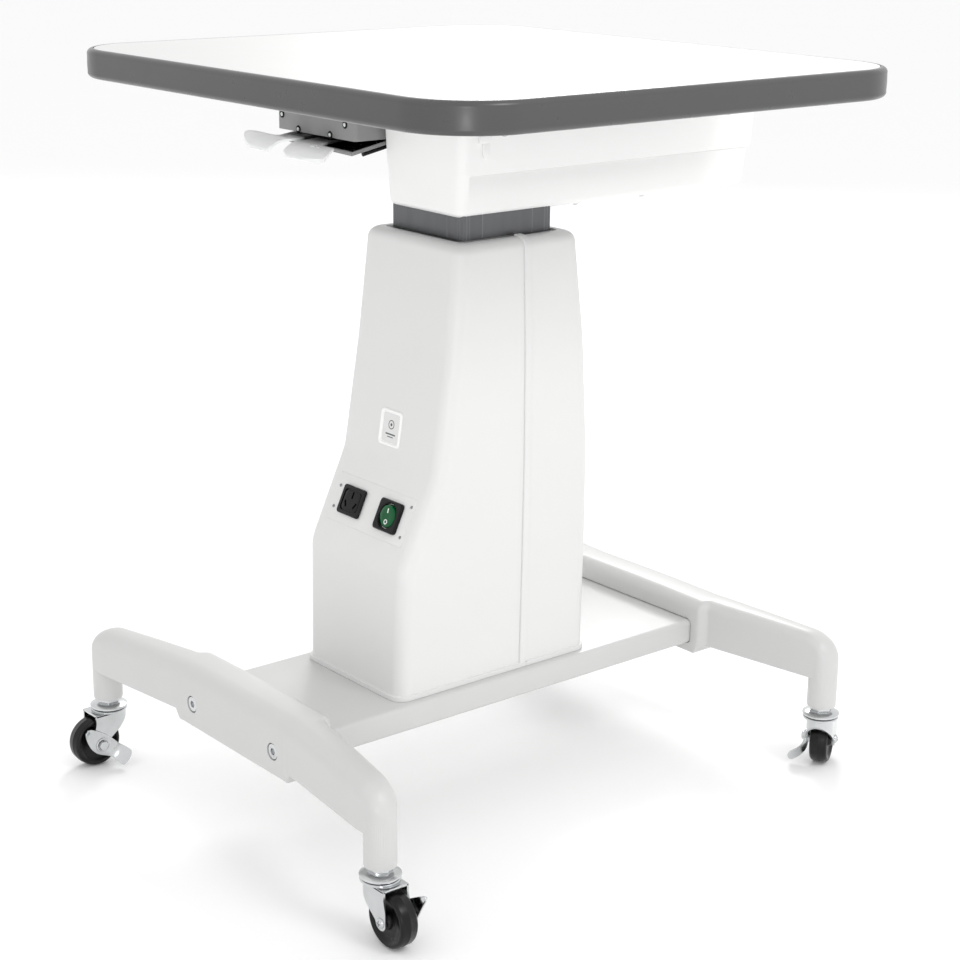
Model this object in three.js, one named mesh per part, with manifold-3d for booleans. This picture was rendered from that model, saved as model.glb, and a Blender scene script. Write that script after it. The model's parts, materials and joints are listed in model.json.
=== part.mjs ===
// A motorised instrument table: a white laminate top on a lifting square column, two cast feet and four braked casters.
// Millimetres, +Z up, -Y is the user's side. The origin is on the floor under the column's axis.
import * as THREE from "three";
import { mergeVertices } from "three/addons/utils/BufferGeometryUtils.js";
import Module from "manifold-3d";

const wasm = await Module();
wasm.setup();

// ---- Shared clearances ----
const GAP = 0.3; // between pieces that bear on each other
const RUN = 0.3; // round a turning shaft
const ROUND_SIDES = 24;

// ---- Tabletop ----
const TOP_WIDTH = 600;
const TOP_DEPTH = 533;
const TOP_CENTRE_Y = 4.5;
const TOP_HEIGHT = 707; // floor to working surface, with the lift where it rests
const TOP_THICK = 27;
const TOP_CORNER = 70;
const BAND_WIDTH = 6;
const BAND_ROUND = 5;
const PANEL_THICK = 26;
const SUPPORT_HALF = 150;
const SUPPORT_FRONT = -95;
const SUPPORT_REAR = 240;
const SUPPORT_THICK = 3.6;

// ---- Housing under the top ----
const HOUSING_DEPTH = 111; // from the band's underside to the pan's underside
const PAN_DEPTH = 37;
const HOUSING_WALL = 2.5;
const HOUSING_FRONT_ROOM = 5; // pan's front face outside the tube's front face
const HOUSING_SIDE_ROOM = 3.5; // pan's side at its top outside the tube's side
const HOUSING_REAR = 323;
const HOUSING_DRAFT = 4.6; // how far the upper shell widens over its height
const PAN_INSET = 4; // how far the pan stands in from the upper shell at the rear
const PAN_ROUND = 4;
const HOUSING_CORNER = 8;

// ---- Lift column ----
const TUBE = 106;
const TUBE_WALL = 4;
const TUBE_CORNER = 3;
const TUBE_FOOT_Z = 230; // lower end of the sliding tube
const BUSH_THICK = 3.4;
const BUSH_HEIGHT = 40;
const BUSH_FLANGE = 3.6;
const GUIDE_WALL = 4;
const GUIDE_TOP_Z = 535;
const HEAD_PLATE = 4.4;
const SCREW_RADIUS = 8;
const SCREW_JOURNAL = 6;
const SCREW_TOP_Z = 500;
const NUT_PLATE = 8;
const NUT_BOSS_RADIUS = 18;
const NUT_BOSS_HEIGHT = 28;

// ---- Base ----
const BEAM_BOTTOM = 100.4;
const BEAM_TOP = 125.9;
const BEAM_MARGIN = 10.8; // beam's side outside the cover's side
const BEAM_ROUND = 5;
const MAST_PLATE_MARGIN = 5; // outside the guide tube's faces
const MAST_PLATE_THICK = 8;
const POST_SPREAD = 230; // half the distance between a foot's posts
const FRONT_POST_Y = -280;
const REAR_POST_Y = 273;
const POST_RADIUS = 14.5;
const FOOT_TOP = 149.5;
const FOOT_ARM_BOTTOM = 99.5;
const FOOT_BLOCK_BOTTOM = 90;
const FOOT_BLOCK_DEPTH = 45;
const FOOT_BLOCK_MARGIN = 12; // block's end outside the beam's side
const FOOT_CROWN_OUTER = 15;
const FOOT_CROWN_INNER = 10;
const FOOT_BEND_LENGTH = 70; // how far before the post the arm's top starts to fall
const FOOT_BEND_DROP = 37;
const FOOT_WALL = 12; // outside the beam's end
const FOOT_BOLT_X = 68;
const FOOT_BOLT_RADIUS = 4;
const FOOT_BOLT_HEAD = 7.5;
const FOOT_BOLT_CONE = 4.2;
const FOOT_BOLT_LENGTH = 34;

// ---- Column cover ----
const COVER_TOP = 548;
const COVER_WALL = 3;
const COVER_CORNER = 14;
const COVER_SHOULDER = 12; // height of the rounded shoulder
const COVER_SHOULDER_IN = 17;
const COVER_SPLIT_Y = 11;
const RIB_WIDTH = 8;
const RIB_PROUD = 1.8;
const BEAD_HEIGHT = 4.5;
const BEAD_PROUD = 2;
const COVER_MOUTH = 1.5; // round the sliding tube
const SLOPE_TOP_Z = 336;
const SLOPE_FOOT_Z = 250;

// ---- Power panel on the cover's sloped face ----
const PANEL_WIDTH = 120;
const PANEL_HEIGHT = 47;
const PANEL_DOWN = 47; // from the slope's top edge to the panel's middle
const PANEL_SHEET = 1.5;
const PANEL_PROUD = 0.5;
const SOCKET_X = -29;
const SOCKET_WIDTH = 34;
const SOCKET_HEIGHT = 28.5;
const SOCKET_DEPTH = 20;
const SWITCH_X = 31;
const SWITCH_WIDTH = 33;
const SWITCH_HEIGHT = 30;
const SWITCH_DEPTH = 14;
const INSERT_LIP = 3.2; // flange outside the hole that an insert fills
const INSERT_FLANGE = 2.2;
const ROCKER_RADIUS = 11.4;
const ROCKER_BORE = 12;
const ROCKER_TILT = 7; // degrees, resting with its lower half pressed in
const BLADE_LENGTH = 7;
const BLADE_WIDTH = 2;
const BLADE_DEPTH = 9;
const BADGE_WIDTH = 32;
const BADGE_HEIGHT = 34.5;
const BADGE_Z = 370;
const BADGE_THICK = 1.6;

// ---- Drive in the cover ----
const GEARBOX_HALF = 32;
const GEARBOX_HEIGHT = 54;
const MOTOR_RADIUS = 25;
const MOTOR_LENGTH = 88;
const SUPPLY_HALF = 45;
const SUPPLY_DEPTH = 48;
const SUPPLY_HEIGHT = 48;
const SUPPLY_BOTTOM_Z = 196;

// ---- Lever box under the top, on the left of the housing ----
const LEVER_X = -127;
const BOX_HALF = 64;
const BOX_FRONT_Y = -88.5;
const BOX_DEPTH = 76;
const BOX_HEIGHT = 52;
const BOX_WALL = 2;
const TRAY_RIGHT_DROP = 13.4; // tray's front corners below the box's lower edge
const TRAY_LEFT_DROP = 10.4;
const TRAY_REAR_RISE = 1;
const TRAY_THICK = 3.6;
const PADDLE_THICK = 3;
const PADDLE_SLOPE = 0.12; // fall per millimetre towards the front
const PADDLE_DROP = 1.5; // paddle's top below the box's lower edge, at the box's front
const TONGUE_INNER = 4; // the paddle's tongue and its lip: distances from the box's middle
const TONGUE_OUTER = 34;
const LIP_INNER = 18;
const LIP_OUTER = 75;
const LIP_BACK = 22; // in front of the box
const LIP_CURL_RADIUS = 24;
const LIP_CURL_ANGLE = 50; // degrees below level at the lip's edge
const PADDLE_PIVOT_BACK = 30; // pivot behind the box's front face
const PADDLE_PIVOT_RISE = 3.5; // above the box's lower edge
const PADDLE_PIVOT_RADIUS = 2;
const PADDLE_BOSS = 4.2;
const PADDLE_TAIL = 16;
const CABLE_RADIUS = 2;

// ---- Casters ----
const WHEEL_RADIUS = 25;
const WHEEL_WIDTH = 18;
const WHEEL_HUB = 21;
const AXLE_RADIUS = 3;
const CASTER_TRAIL = 18;
const FORK_SHEET = 2.2;
const FORK_CROWN_ROOM = 3; // between the tread and the fork's crown
const FORK_DISC = 17.5;
const FORK_TAIL = 22;
const RACE_HEIGHT = 2.2;
const RACE_RADIUS = 15;
const CAP_RADIUS = 18.5;
const CAP_THICK = 3.8;
const CAP_GAP = 0.8;
const STEM_NUT_RADIUS = 10.5;
const STEM_NUT_HEIGHT = 5.4;
const STEM_RADIUS = 5;
const STEM_LENGTH = 26;
const KINGPIN_RADIUS = 4;
const BRAKE_SHEET = 2;
const BRAKE_TAB = 14;
const CASTERS = [
  { place: "front_right", x: 1, y: FRONT_POST_Y, heading: 0 },
  { place: "front_left", x: -1, y: FRONT_POST_Y, heading: -90 },
  { place: "rear_right", x: 1, y: REAR_POST_Y, heading: 120.8 },
  { place: "rear_left", x: -1, y: REAR_POST_Y, heading: 70 },
];

// ---- Worked out from the driving dimensions ----
const underside = TOP_HEIGHT - TOP_THICK;
const panelBottom = TOP_HEIGHT - PANEL_THICK;
const supportTop = panelBottom - GAP;
const supportBottom = supportTop - SUPPORT_THICK;
const housingTop = supportBottom - GAP;
const housingBottom = underside - HOUSING_DEPTH;
const housingSeam = housingBottom + PAN_DEPTH;
const tubeHalf = TUBE / 2;
const guideHalf = tubeHalf + GAP + BUSH_THICK + GAP + GUIDE_WALL;
const coverBottom = BEAM_TOP + GAP;
const coverSide = guideHalf + 14;
const beamHalf = coverSide + BEAM_MARGIN;
const mastPlateTop = coverBottom + MAST_PLATE_THICK;
const guideBottom = mastPlateTop + GAP;
const gearboxTop = guideBottom + GEARBOX_HEIGHT;
const driveZ = guideBottom + GEARBOX_HEIGHT / 2;
const beamMiddle = (BEAM_BOTTOM + BEAM_TOP) / 2;
const crownBottom = 2 * WHEEL_RADIUS + FORK_CROWN_ROOM;
const crownTop = crownBottom + FORK_SHEET;
const capBottom = crownTop + RACE_HEIGHT + CAP_GAP;
const capTop = capBottom + CAP_THICK;
const nutTop = capTop + STEM_NUT_HEIGHT;
const postBottom = nutTop + GAP;

// The cover's outline level by level: distances outside the guide tube's faces.
const coverLevels = [
  { z: coverBottom, side: 14, front: 82, rear: 30 },
  { z: SLOPE_FOOT_Z - 12, side: 15.7, front: 80.6, rear: 30 },
  { z: SLOPE_FOOT_Z, side: 16, front: 79, rear: 30 },
  { z: SLOPE_TOP_Z, side: 16.6, front: 39, rear: 29 },
  { z: COVER_TOP - 103, side: 15.5, front: 22, rear: 22.5 },
  { z: COVER_TOP - COVER_SHOULDER, side: 12, front: 13, rear: 13 },
];
const SHOULDER_STEPS = 4;

// ---- Materials ----
const paint = (color, roughness, metalness = 0) => new THREE.MeshStandardMaterial({ color, roughness, metalness });
const laminate = paint("#ececea", 0.35);
const bandGrey = paint("#737373", 0.42);
const enamel = paint("#e6e6e4", 0.38);
const coverWhite = paint("#ebebe9", 0.45);
const anodised = paint("#6d6e70", 0.35, 0.9);
const greyCoat = paint("#8f8f8f", 0.5, 0.2);
const steel = paint("#a9abad", 0.4, 0.9);
const chrome = paint("#d4d6d8", 0.12, 1);
const tyreBlack = paint("#161616", 0.38);
const mouldedBlack = paint("#1b1b1c", 0.45);
const rockerGreen = paint("#0b7a45", 0.2);
const badgeGrey = paint("#cfd6d4", 0.4);
const paddleGrey = paint("#dcdddc", 0.4);
const boardGreen = paint("#1e5a3a", 0.5);
const bushCream = paint("#e2dfd2", 0.6);

// ---- Solids ----
const radians = THREE.MathUtils.degToRad;

function solid(geometry) {
  const bare = geometry.index ? geometry.toNonIndexed() : geometry.clone();
  bare.deleteAttribute("normal");
  bare.deleteAttribute("uv");
  const merged = mergeVertices(bare, 1e-4);
  const vertProperties = merged.attributes.position.array;
  return new wasm.Manifold(new wasm.Mesh({ numProp: 3, vertProperties, triVerts: new Uint32Array(merged.index.array) }));
}

function geometryOf(body) {
  const { vertProperties, triVerts } = body.getMesh();
  const geometry = new THREE.BufferGeometry();
  geometry.setAttribute("position", new THREE.BufferAttribute(vertProperties, 3));
  geometry.setIndex(new THREE.BufferAttribute(triVerts, 1));
  geometry.computeVertexNormals();
  return geometry;
}

function part(name, body, material, parent) {
  const mesh = new THREE.Mesh(geometryOf(body), material);
  mesh.name = name;
  parent.add(mesh);
  return mesh;
}

const unite = (bodies) => bodies.reduce((whole, body) => whole.add(body));

function box(x0, x1, y0, y1, z0, z1) {
  const geometry = new THREE.BoxGeometry(x1 - x0, y1 - y0, z1 - z0);
  return solid(geometry.translate((x0 + x1) / 2, (y0 + y1) / 2, (z0 + z1) / 2));
}

// A round bar or cone about an axis parallel to X, Y or Z, between two values along it.
function bar(axis, radius, from, to, at = [0, 0, 0], sides = ROUND_SIDES, endRadius = radius) {
  const geometry = new THREE.CylinderGeometry(endRadius, radius, to - from, sides);
  geometry.translate(0, (from + to) / 2, 0);
  if (axis === "x") geometry.rotateZ(-Math.PI / 2);
  if (axis === "z") geometry.rotateX(Math.PI / 2);
  return solid(geometry.translate(...at));
}

// Points of a rounded rectangle, counter-clockwise.
function roundedOutline(x0, x1, y0, y1, radius, steps = 4) {
  const corners = [
    [x1 - radius, y0 + radius, -90],
    [x1 - radius, y1 - radius, 0],
    [x0 + radius, y1 - radius, 90],
    [x0 + radius, y0 + radius, 180],
  ];
  return corners.flatMap(([cx, cy, start]) =>
    Array.from({ length: steps + 1 }, (_, i) => {
      const angle = radians(start + (90 * i) / steps);
      return [cx + radius * Math.cos(angle), cy + radius * Math.sin(angle)];
    }),
  );
}

function prism(outline, z0, z1) {
  const shape = new THREE.Shape(outline.map(([x, y]) => new THREE.Vector2(x, y)));
  const geometry = new THREE.ExtrudeGeometry(shape, { depth: z1 - z0, bevelEnabled: false });
  return solid(geometry.translate(0, 0, z0));
}

// An upright plate: its outline lies in X and Z, and it spans y0 to y1.
function platePrism(outline, y0, y1) {
  const shape = new THREE.Shape(outline.map(([x, z]) => new THREE.Vector2(x, z)));
  const geometry = new THREE.ExtrudeGeometry(shape, { depth: y1 - y0, bevelEnabled: false });
  return solid(geometry.rotateX(Math.PI / 2).translate(0, y1, 0));
}

// A skin through rings of equally many points, each counter-clockwise seen from the last ring's side.
function loft(rings, flat) {
  const count = rings[0].length;
  const positions = rings.flat(2);
  const faces = [];
  for (let level = 0; level + 1 < rings.length; level++)
    for (let i = 0; i < count; i++) {
      const a = level * count + i;
      const b = level * count + ((i + 1) % count);
      faces.push(a, b, b + count, a, b + count, a + count);
    }
  const cap = (ring) => THREE.ShapeUtils.triangulateShape(ring.map((point) => new THREE.Vector2(...flat(point))), []);
  for (const [a, b, c] of cap(rings[0])) faces.push(a, c, b);
  const last = (rings.length - 1) * count;
  for (const [a, b, c] of cap(rings.at(-1))) faces.push(last + a, last + b, last + c);
  const geometry = new THREE.BufferGeometry();
  geometry.setAttribute("position", new THREE.Float32BufferAttribute(positions, 3));
  geometry.setIndex(faces);
  return solid(geometry);
}

const levelRing = (outline, z) => outline.map(([x, y]) => [x, y, z]);
const fromAbove = ([x, y]) => [x, y];
const fromRight = ([, y, z]) => [y, z];

// A body made in a tilted frame, moved to where that frame stands.
const moved = (body, frame) => {
  frame.updateMatrixWorld(true);
  return body.transform(frame.matrixWorld.elements);
};

const table = new THREE.Group();

// ---- Base: beam, feet and their bolts ----
function footEdges(x) {
  const reach = Math.abs(x);
  const blockEnd = beamHalf + FOOT_BLOCK_MARGIN;
  const armStart = blockEnd + 8;
  const swept = THREE.MathUtils.clamp((reach - blockEnd) / (POST_SPREAD - 15 - blockEnd), 0, 1);
  const narrowed = THREE.MathUtils.clamp((reach - armStart) / (POST_SPREAD - 10 - armStart), 0, 1);
  const pastPost = Math.max(0, reach - POST_SPREAD);
  const roundEnd = Math.sqrt(Math.max(0, POST_RADIUS ** 2 - pastPost ** 2));
  const armInner = FOOT_BLOCK_DEPTH - 8;
  const bend = THREE.MathUtils.clamp((reach - POST_SPREAD + FOOT_BEND_LENGTH) / (FOOT_BEND_LENGTH + POST_RADIUS), 0, 1);
  return {
    outer: pastPost > 0 ? -roundEnd : -POST_RADIUS * swept,
    inner:
      pastPost > 0 ? roundEnd : reach <= blockEnd ? FOOT_BLOCK_DEPTH : armInner + (POST_RADIUS - armInner) * narrowed,
    top: FOOT_TOP - FOOT_BEND_DROP * (1 - Math.sqrt(1 - bend ** 2)),
    bottom: reach <= beamHalf + 2 ? FOOT_BLOCK_BOTTOM : FOOT_ARM_BOTTOM,
  };
}

function footSection(x) {
  const { outer, inner, top, bottom } = footEdges(x);
  const width = inner - outer;
  const outerRound = Math.min(FOOT_CROWN_OUTER, width / 2, top - bottom - 1);
  const innerRound = Math.min(FOOT_CROWN_INNER, width / 2, top - bottom - 1);
  const arc = (cy, cz, radius, start) =>
    [0, 30, 60, 90].map((turn) => {
      const angle = radians(start + turn);
      return [x, cy + radius * Math.cos(angle), cz + radius * Math.sin(angle)];
    });
  return [
    [x, outer, bottom],
    [x, inner, bottom],
    ...arc(inner - innerRound, top - innerRound, innerRound, 0),
    ...arc(outer + outerRound, top - outerRound, outerRound, 90).map(([px, py, pz]) => [px, Math.min(py, inner), pz]),
  ];
}

function foot() {
  const blockEnd = beamHalf + FOOT_BLOCK_MARGIN;
  const end = POST_SPREAD + POST_RADIUS;
  const right = [
    beamHalf + 2,
    beamHalf + 4.5,
    blockEnd,
    blockEnd + 8,
    POST_SPREAD - FOOT_BEND_LENGTH,
    POST_SPREAD - 50,
    POST_SPREAD - 32,
    POST_SPREAD - 18,
    POST_SPREAD - 6,
    POST_SPREAD,
    end - 8,
    end - 3.5,
    end - 0.6,
  ];
  const places = [...right.map((x) => -x).reverse(), ...right];
  const arm = loft(places.map(footSection), fromRight);
  const posts = [-1, 1].map((side) =>
    bar("z", POST_RADIUS, postBottom, FOOT_ARM_BOTTOM + 12, [side * POST_SPREAD, 0, 0]),
  );
  const pocket = box(
    -beamHalf - GAP,
    beamHalf + GAP,
    FOOT_WALL,
    FOOT_BLOCK_DEPTH + 5,
    BEAM_BOTTOM - GAP,
    BEAM_TOP + GAP,
  );
  let casting = unite([arm, ...posts]).subtract(pocket);
  for (const side of [-1, 1]) {
    const at = [side * FOOT_BOLT_X, 0, beamMiddle];
    const head = FOOT_BOLT_HEAD + GAP;
    const shank = FOOT_BOLT_RADIUS + GAP;
    casting = casting
      .subtract(bar("y", shank, -5, FOOT_WALL + 1, at, 16))
      .subtract(bar("y", head + 1.6, -0.6, FOOT_BOLT_CONE + GAP, at, 16, shank))
      .subtract(bar("z", STEM_RADIUS + GAP, postBottom - 1, nutTop + STEM_LENGTH + 1, [side * POST_SPREAD, 0, 0], 12));
  }
  return casting;
}

function footBolt() {
  const head = bar("y", FOOT_BOLT_HEAD, 0.6, FOOT_BOLT_CONE, [0, 0, 0], 16, FOOT_BOLT_RADIUS);
  const shank = bar("y", FOOT_BOLT_RADIUS, FOOT_BOLT_CONE - 0.5, FOOT_BOLT_LENGTH, [0, 0, 0], 16);
  const socket = bar("y", 3, -1, 2.9, [0, 0, 0], 6);
  return head.add(shank).subtract(socket);
}

const baseEnds = [
  { place: "front", y: FRONT_POST_Y, turn: 0 },
  { place: "rear", y: REAR_POST_Y, turn: Math.PI },
];
for (const { place, y, turn } of baseEnds) {
  const group = new THREE.Group();
  group.position.set(0, y, 0);
  group.rotation.z = turn;
  table.add(group);
  part(`${place}_foot`, foot(), enamel, group);
  for (const side of [-1, 1]) {
    const hand = side * Math.cos(turn) > 0 ? "right" : "left";
    const bolt = part(`foot_bolt_${place}_${hand}`, footBolt(), steel, group);
    bolt.position.set(side * FOOT_BOLT_X, 0, beamMiddle);
  }
}

function beam() {
  const front = FRONT_POST_Y + FOOT_WALL + GAP;
  const rear = REAR_POST_Y - FOOT_WALL - GAP;
  const outline = roundedOutline(-beamHalf, beamHalf, BEAM_BOTTOM, BEAM_TOP, BEAM_ROUND, 3);
  let bored = platePrism(outline, front, rear);
  const depth = FOOT_BOLT_LENGTH - FOOT_WALL + 2;
  for (const side of [-1, 1]) {
    const at = [side * FOOT_BOLT_X, 0, beamMiddle];
    bored = bored
      .subtract(bar("y", FOOT_BOLT_RADIUS + GAP, front - 1, front + depth, at, 16))
      .subtract(bar("y", FOOT_BOLT_RADIUS + GAP, rear - depth, rear + 1, at, 16));
  }
  return bored;
}
part("base_beam", beam(), enamel, table);
const mastPlate = guideHalf + MAST_PLATE_MARGIN;
part(
  "mast_plate",
  prism(roundedOutline(-mastPlate, mastPlate, -mastPlate, mastPlate, 6, 2), coverBottom, mastPlateTop),
  steel,
  table,
);

// ---- Lift column: fixed guide, sliding tube, screw and drive ----
const squareTube = (half, wall, corner, z0, z1) =>
  prism(roundedOutline(-half, half, -half, half, corner, 2), z0, z1).subtract(
    prism(roundedOutline(wall - half, half - wall, wall - half, half - wall, Math.max(corner - wall, 0.5), 2), z0 - 1, z1 + 1),
  );

const guide = squareTube(guideHalf, GUIDE_WALL, TUBE_CORNER + GUIDE_WALL, guideBottom, GUIDE_TOP_Z);
const motorWindow = bar("y", MOTOR_RADIUS + 2, -guideHalf - 5, -guideHalf + GUIDE_WALL + 5, [0, 0, driveZ]);
part("guide_tube", guide.subtract(motorWindow), steel, table);

const bushOuter = tubeHalf + GAP + BUSH_THICK;
const bushTop = GUIDE_TOP_Z + GAP;
const upperBush = squareTube(bushOuter, BUSH_THICK, TUBE_CORNER, GUIDE_TOP_Z - BUSH_HEIGHT, bushTop + 1).add(
  squareTube(guideHalf, guideHalf - tubeHalf - GAP, TUBE_CORNER, bushTop, bushTop + BUSH_FLANGE),
);
part("upper_guide_bush", upperBush, bushCream, table);

const lift = new THREE.Group();
table.add(lift);
const headTop = housingTop;
const tubeTop = headTop - HEAD_PLATE - GAP;
part("sliding_tube", squareTube(tubeHalf, TUBE_WALL, TUBE_CORNER, TUBE_FOOT_Z, tubeTop), anodised, lift);
part(
  "lower_guide_bush",
  squareTube(bushOuter, BUSH_THICK, TUBE_CORNER, TUBE_FOOT_Z + 2, TUBE_FOOT_Z + 2 + BUSH_HEIGHT),
  bushCream,
  lift,
);
const nutHalf = tubeHalf - TUBE_WALL - GAP;
const nutBottom = TUBE_FOOT_Z + 2;
const liftNut = unite([
  prism(roundedOutline(-nutHalf, nutHalf, -nutHalf, nutHalf, 1, 1), nutBottom, nutBottom + NUT_PLATE),
  bar("z", NUT_BOSS_RADIUS, nutBottom, nutBottom + NUT_BOSS_HEIGHT, [0, 0, 0], 16),
]).subtract(bar("z", SCREW_RADIUS + RUN, nutBottom - 1, nutBottom + NUT_BOSS_HEIGHT + 1, [0, 0, 0], 16));
part("lift_nut", liftNut, bushCream, lift);
const headHalf = tubeHalf - 1;
part("mast_head_plate", box(-headHalf, headHalf, -headHalf, headHalf, tubeTop + GAP, headTop), steel, lift);

const journalFoot = driveZ;
const screw = unite([
  bar("z", SCREW_JOURNAL, journalFoot, gearboxTop + 4, [0, 0, 0], 12),
  bar("z", SCREW_RADIUS, gearboxTop + 3, SCREW_TOP_Z, [0, 0, 0], 12),
]);
part("lead_screw", screw, steel, table);
const gearbox = box(-GEARBOX_HALF, GEARBOX_HALF, -GEARBOX_HALF, GEARBOX_HALF, guideBottom, gearboxTop).subtract(
  bar("z", SCREW_JOURNAL + RUN, journalFoot - GAP, gearboxTop + 1, [0, 0, 0], 16),
);
part("gearbox", gearbox, greyCoat, table);
const motorFront = -GEARBOX_HALF - GAP - MOTOR_LENGTH;
part("motor", bar("y", MOTOR_RADIUS, motorFront, -GEARBOX_HALF - GAP, [0, 0, driveZ], 20), mouldedBlack, table);
const supplyRear = -guideHalf - GAP;
const supplyTop = SUPPLY_BOTTOM_Z + SUPPLY_HEIGHT;
part(
  "power_supply",
  box(-SUPPLY_HALF, SUPPLY_HALF, supplyRear - SUPPLY_DEPTH, supplyRear, SUPPLY_BOTTOM_Z, supplyTop),
  greyCoat,
  table,
);

// ---- Column cover: two drafted shells round the guide tube ----
// The skin set in by a wall's thickness, or stood out by a negative one.
function coverSkin(inset) {
  const ring = ({ z, side, front, rear }, corner) => {
    const x = guideHalf + side - inset;
    const outline = roundedOutline(-x, x, -guideHalf - front + inset, guideHalf + rear - inset, corner - inset);
    return levelRing(outline, z - inset);
  };
  const rings = coverLevels.map((level) => ring(level, COVER_CORNER));
  const shoulder = coverLevels.at(-1);
  for (let step = 1; step <= SHOULDER_STEPS; step++) {
    const angle = (Math.PI / 2) * (step / SHOULDER_STEPS);
    const drawnIn = COVER_SHOULDER_IN * (1 - Math.cos(angle));
    const level = {
      z: shoulder.z + COVER_SHOULDER * Math.sin(angle),
      side: shoulder.side - drawnIn,
      front: shoulder.front - drawnIn,
      rear: shoulder.rear - drawnIn,
    };
    rings.push(ring(level, COVER_CORNER - drawnIn * 0.5));
  }
  return loft(rings, fromAbove);
}

const farOut = 400;
const skin = coverSkin(0);
const ribBand = coverSkin(-RIB_PROUD).intersect(
  box(-farOut, farOut, COVER_SPLIT_Y - RIB_WIDTH, COVER_SPLIT_Y, coverBottom, COVER_TOP),
);
const base = coverLevels[0];
const beadX = guideHalf + base.side + BEAD_PROUD;
const beadFront = -guideHalf - base.front - BEAD_PROUD;
const beadRear = guideHalf + base.rear + BEAD_PROUD;
const bead = prism(
  roundedOutline(-beadX, beadX, beadFront, beadRear, COVER_CORNER + BEAD_PROUD),
  coverBottom,
  coverBottom + BEAD_HEIGHT,
);
const mouth = tubeHalf + COVER_MOUTH;
const cavity = coverSkin(COVER_WALL).add(box(-mouth, mouth, -mouth, mouth, COVER_TOP - 20, COVER_TOP + 20));
const dressed = unite([skin, bead]);

const slopeTop = new THREE.Vector3(0, -guideHalf - coverLevels[3].front, SLOPE_TOP_Z);
const slopeFoot = new THREE.Vector3(0, -guideHalf - coverLevels[2].front, SLOPE_FOOT_Z);
const upperFront = new THREE.Vector3(0, -guideHalf - coverLevels[4].front, coverLevels[4].z);

// A frame on the cover's front: X across, Y up the face, Z out of it.
function faceFrame(low, high, down) {
  const up = high.clone().sub(low).normalize();
  const frame = new THREE.Group();
  frame.position.copy(high).addScaledVector(up, -down);
  frame.rotation.x = Math.atan2(up.z, up.y);
  return frame;
}
const powerFrame = faceFrame(slopeFoot, slopeTop, PANEL_DOWN);
const badgeSlant = upperFront.distanceTo(slopeTop) / (upperFront.z - slopeTop.z);
const badgeFrame = faceFrame(slopeTop, upperFront, (upperFront.z - BADGE_Z) * badgeSlant);

const sheet = (width, height, corner, z0, z1, x = 0) =>
  prism(roundedOutline(x - width / 2, x + width / 2, -height / 2, height / 2, corner, 2), z0, z1);
const insertHole = (width, height, x, z0, z1) =>
  sheet(width - 2 * INSERT_LIP + 2 * GAP, height - 2 * INSERT_LIP + 2 * GAP, 1, z0, z1, x);
const plateTop = PANEL_PROUD;
const plateBottom = PANEL_PROUD - PANEL_SHEET;
const panelPocket = sheet(PANEL_WIDTH + 2 * GAP, PANEL_HEIGHT + 2 * GAP, 2, plateBottom - GAP, 6);
const badgePocket = sheet(BADGE_WIDTH + 2 * GAP, BADGE_HEIGHT + 2 * GAP, 4, -0.9, 6);
const coverHoles = unite([
  insertHole(SOCKET_WIDTH, SOCKET_HEIGHT, SOCKET_X, -12, 4),
  insertHole(SWITCH_WIDTH, SWITCH_HEIGHT, SWITCH_X, -12, 4),
]);
const frontShell = dressed
  .intersect(box(-farOut, farOut, -farOut, COVER_SPLIT_Y, coverBottom, COVER_TOP + 1))
  .add(ribBand)
  .subtract(cavity)
  .subtract(moved(panelPocket.add(coverHoles), powerFrame))
  .subtract(moved(badgePocket, badgeFrame));
const rearShell = dressed
  .intersect(box(-farOut, farOut, COVER_SPLIT_Y + GAP, farOut, coverBottom, COVER_TOP + 1))
  .subtract(cavity);
part("cover_front", frontShell, coverWhite, table);
part("cover_rear", rearShell, coverWhite, table);

// ---- Power panel: sheet, mains socket, switch frame and rocker; badge plate above it ----
table.add(powerFrame, badgeFrame);
const panelSheet = sheet(PANEL_WIDTH, PANEL_HEIGHT, 2, plateBottom, plateTop)
  .subtract(insertHole(SOCKET_WIDTH, SOCKET_HEIGHT, SOCKET_X, -5, 5))
  .subtract(insertHole(SWITCH_WIDTH, SWITCH_HEIGHT, SWITCH_X, -5, 5));
part("power_panel", panelSheet, coverWhite, powerFrame);

function insert(width, height, depth, x) {
  const flange = sheet(width, height, 2.5, plateTop + GAP, plateTop + GAP + INSERT_FLANGE, x);
  const bodyWidth = width - 2 * INSERT_LIP;
  const bodyHeight = height - 2 * INSERT_LIP;
  return flange.add(sheet(bodyWidth, bodyHeight, 0.7, -depth, plateTop + GAP + 1, x));
}
const faceZ = plateTop + GAP + INSERT_FLANGE;
function blade(x, y, turn) {
  const geometry = new THREE.BoxGeometry(BLADE_WIDTH, BLADE_LENGTH, BLADE_DEPTH + 5);
  geometry.rotateZ(radians(turn)).translate(SOCKET_X + x, y, faceZ - BLADE_DEPTH / 2 + 2.5);
  return solid(geometry);
}
const socket = insert(SOCKET_WIDTH, SOCKET_HEIGHT, SOCKET_DEPTH, SOCKET_X)
  .subtract(blade(0, 6.5, 0))
  .subtract(blade(-8, -4.5, 30))
  .subtract(blade(8, -4.5, -30));
part("mains_socket", socket, mouldedBlack, powerFrame);
const switchFrame = insert(SWITCH_WIDTH, SWITCH_HEIGHT, SWITCH_DEPTH, SWITCH_X);
const rockerCentre = -0.5;
const rockerBottom = rockerCentre - 7.5;
part(
  "switch_frame",
  switchFrame.subtract(bar("z", ROCKER_BORE, rockerBottom - 3, 8, [SWITCH_X, 0, 0], 20)),
  mouldedBlack,
  powerFrame,
);
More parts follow.
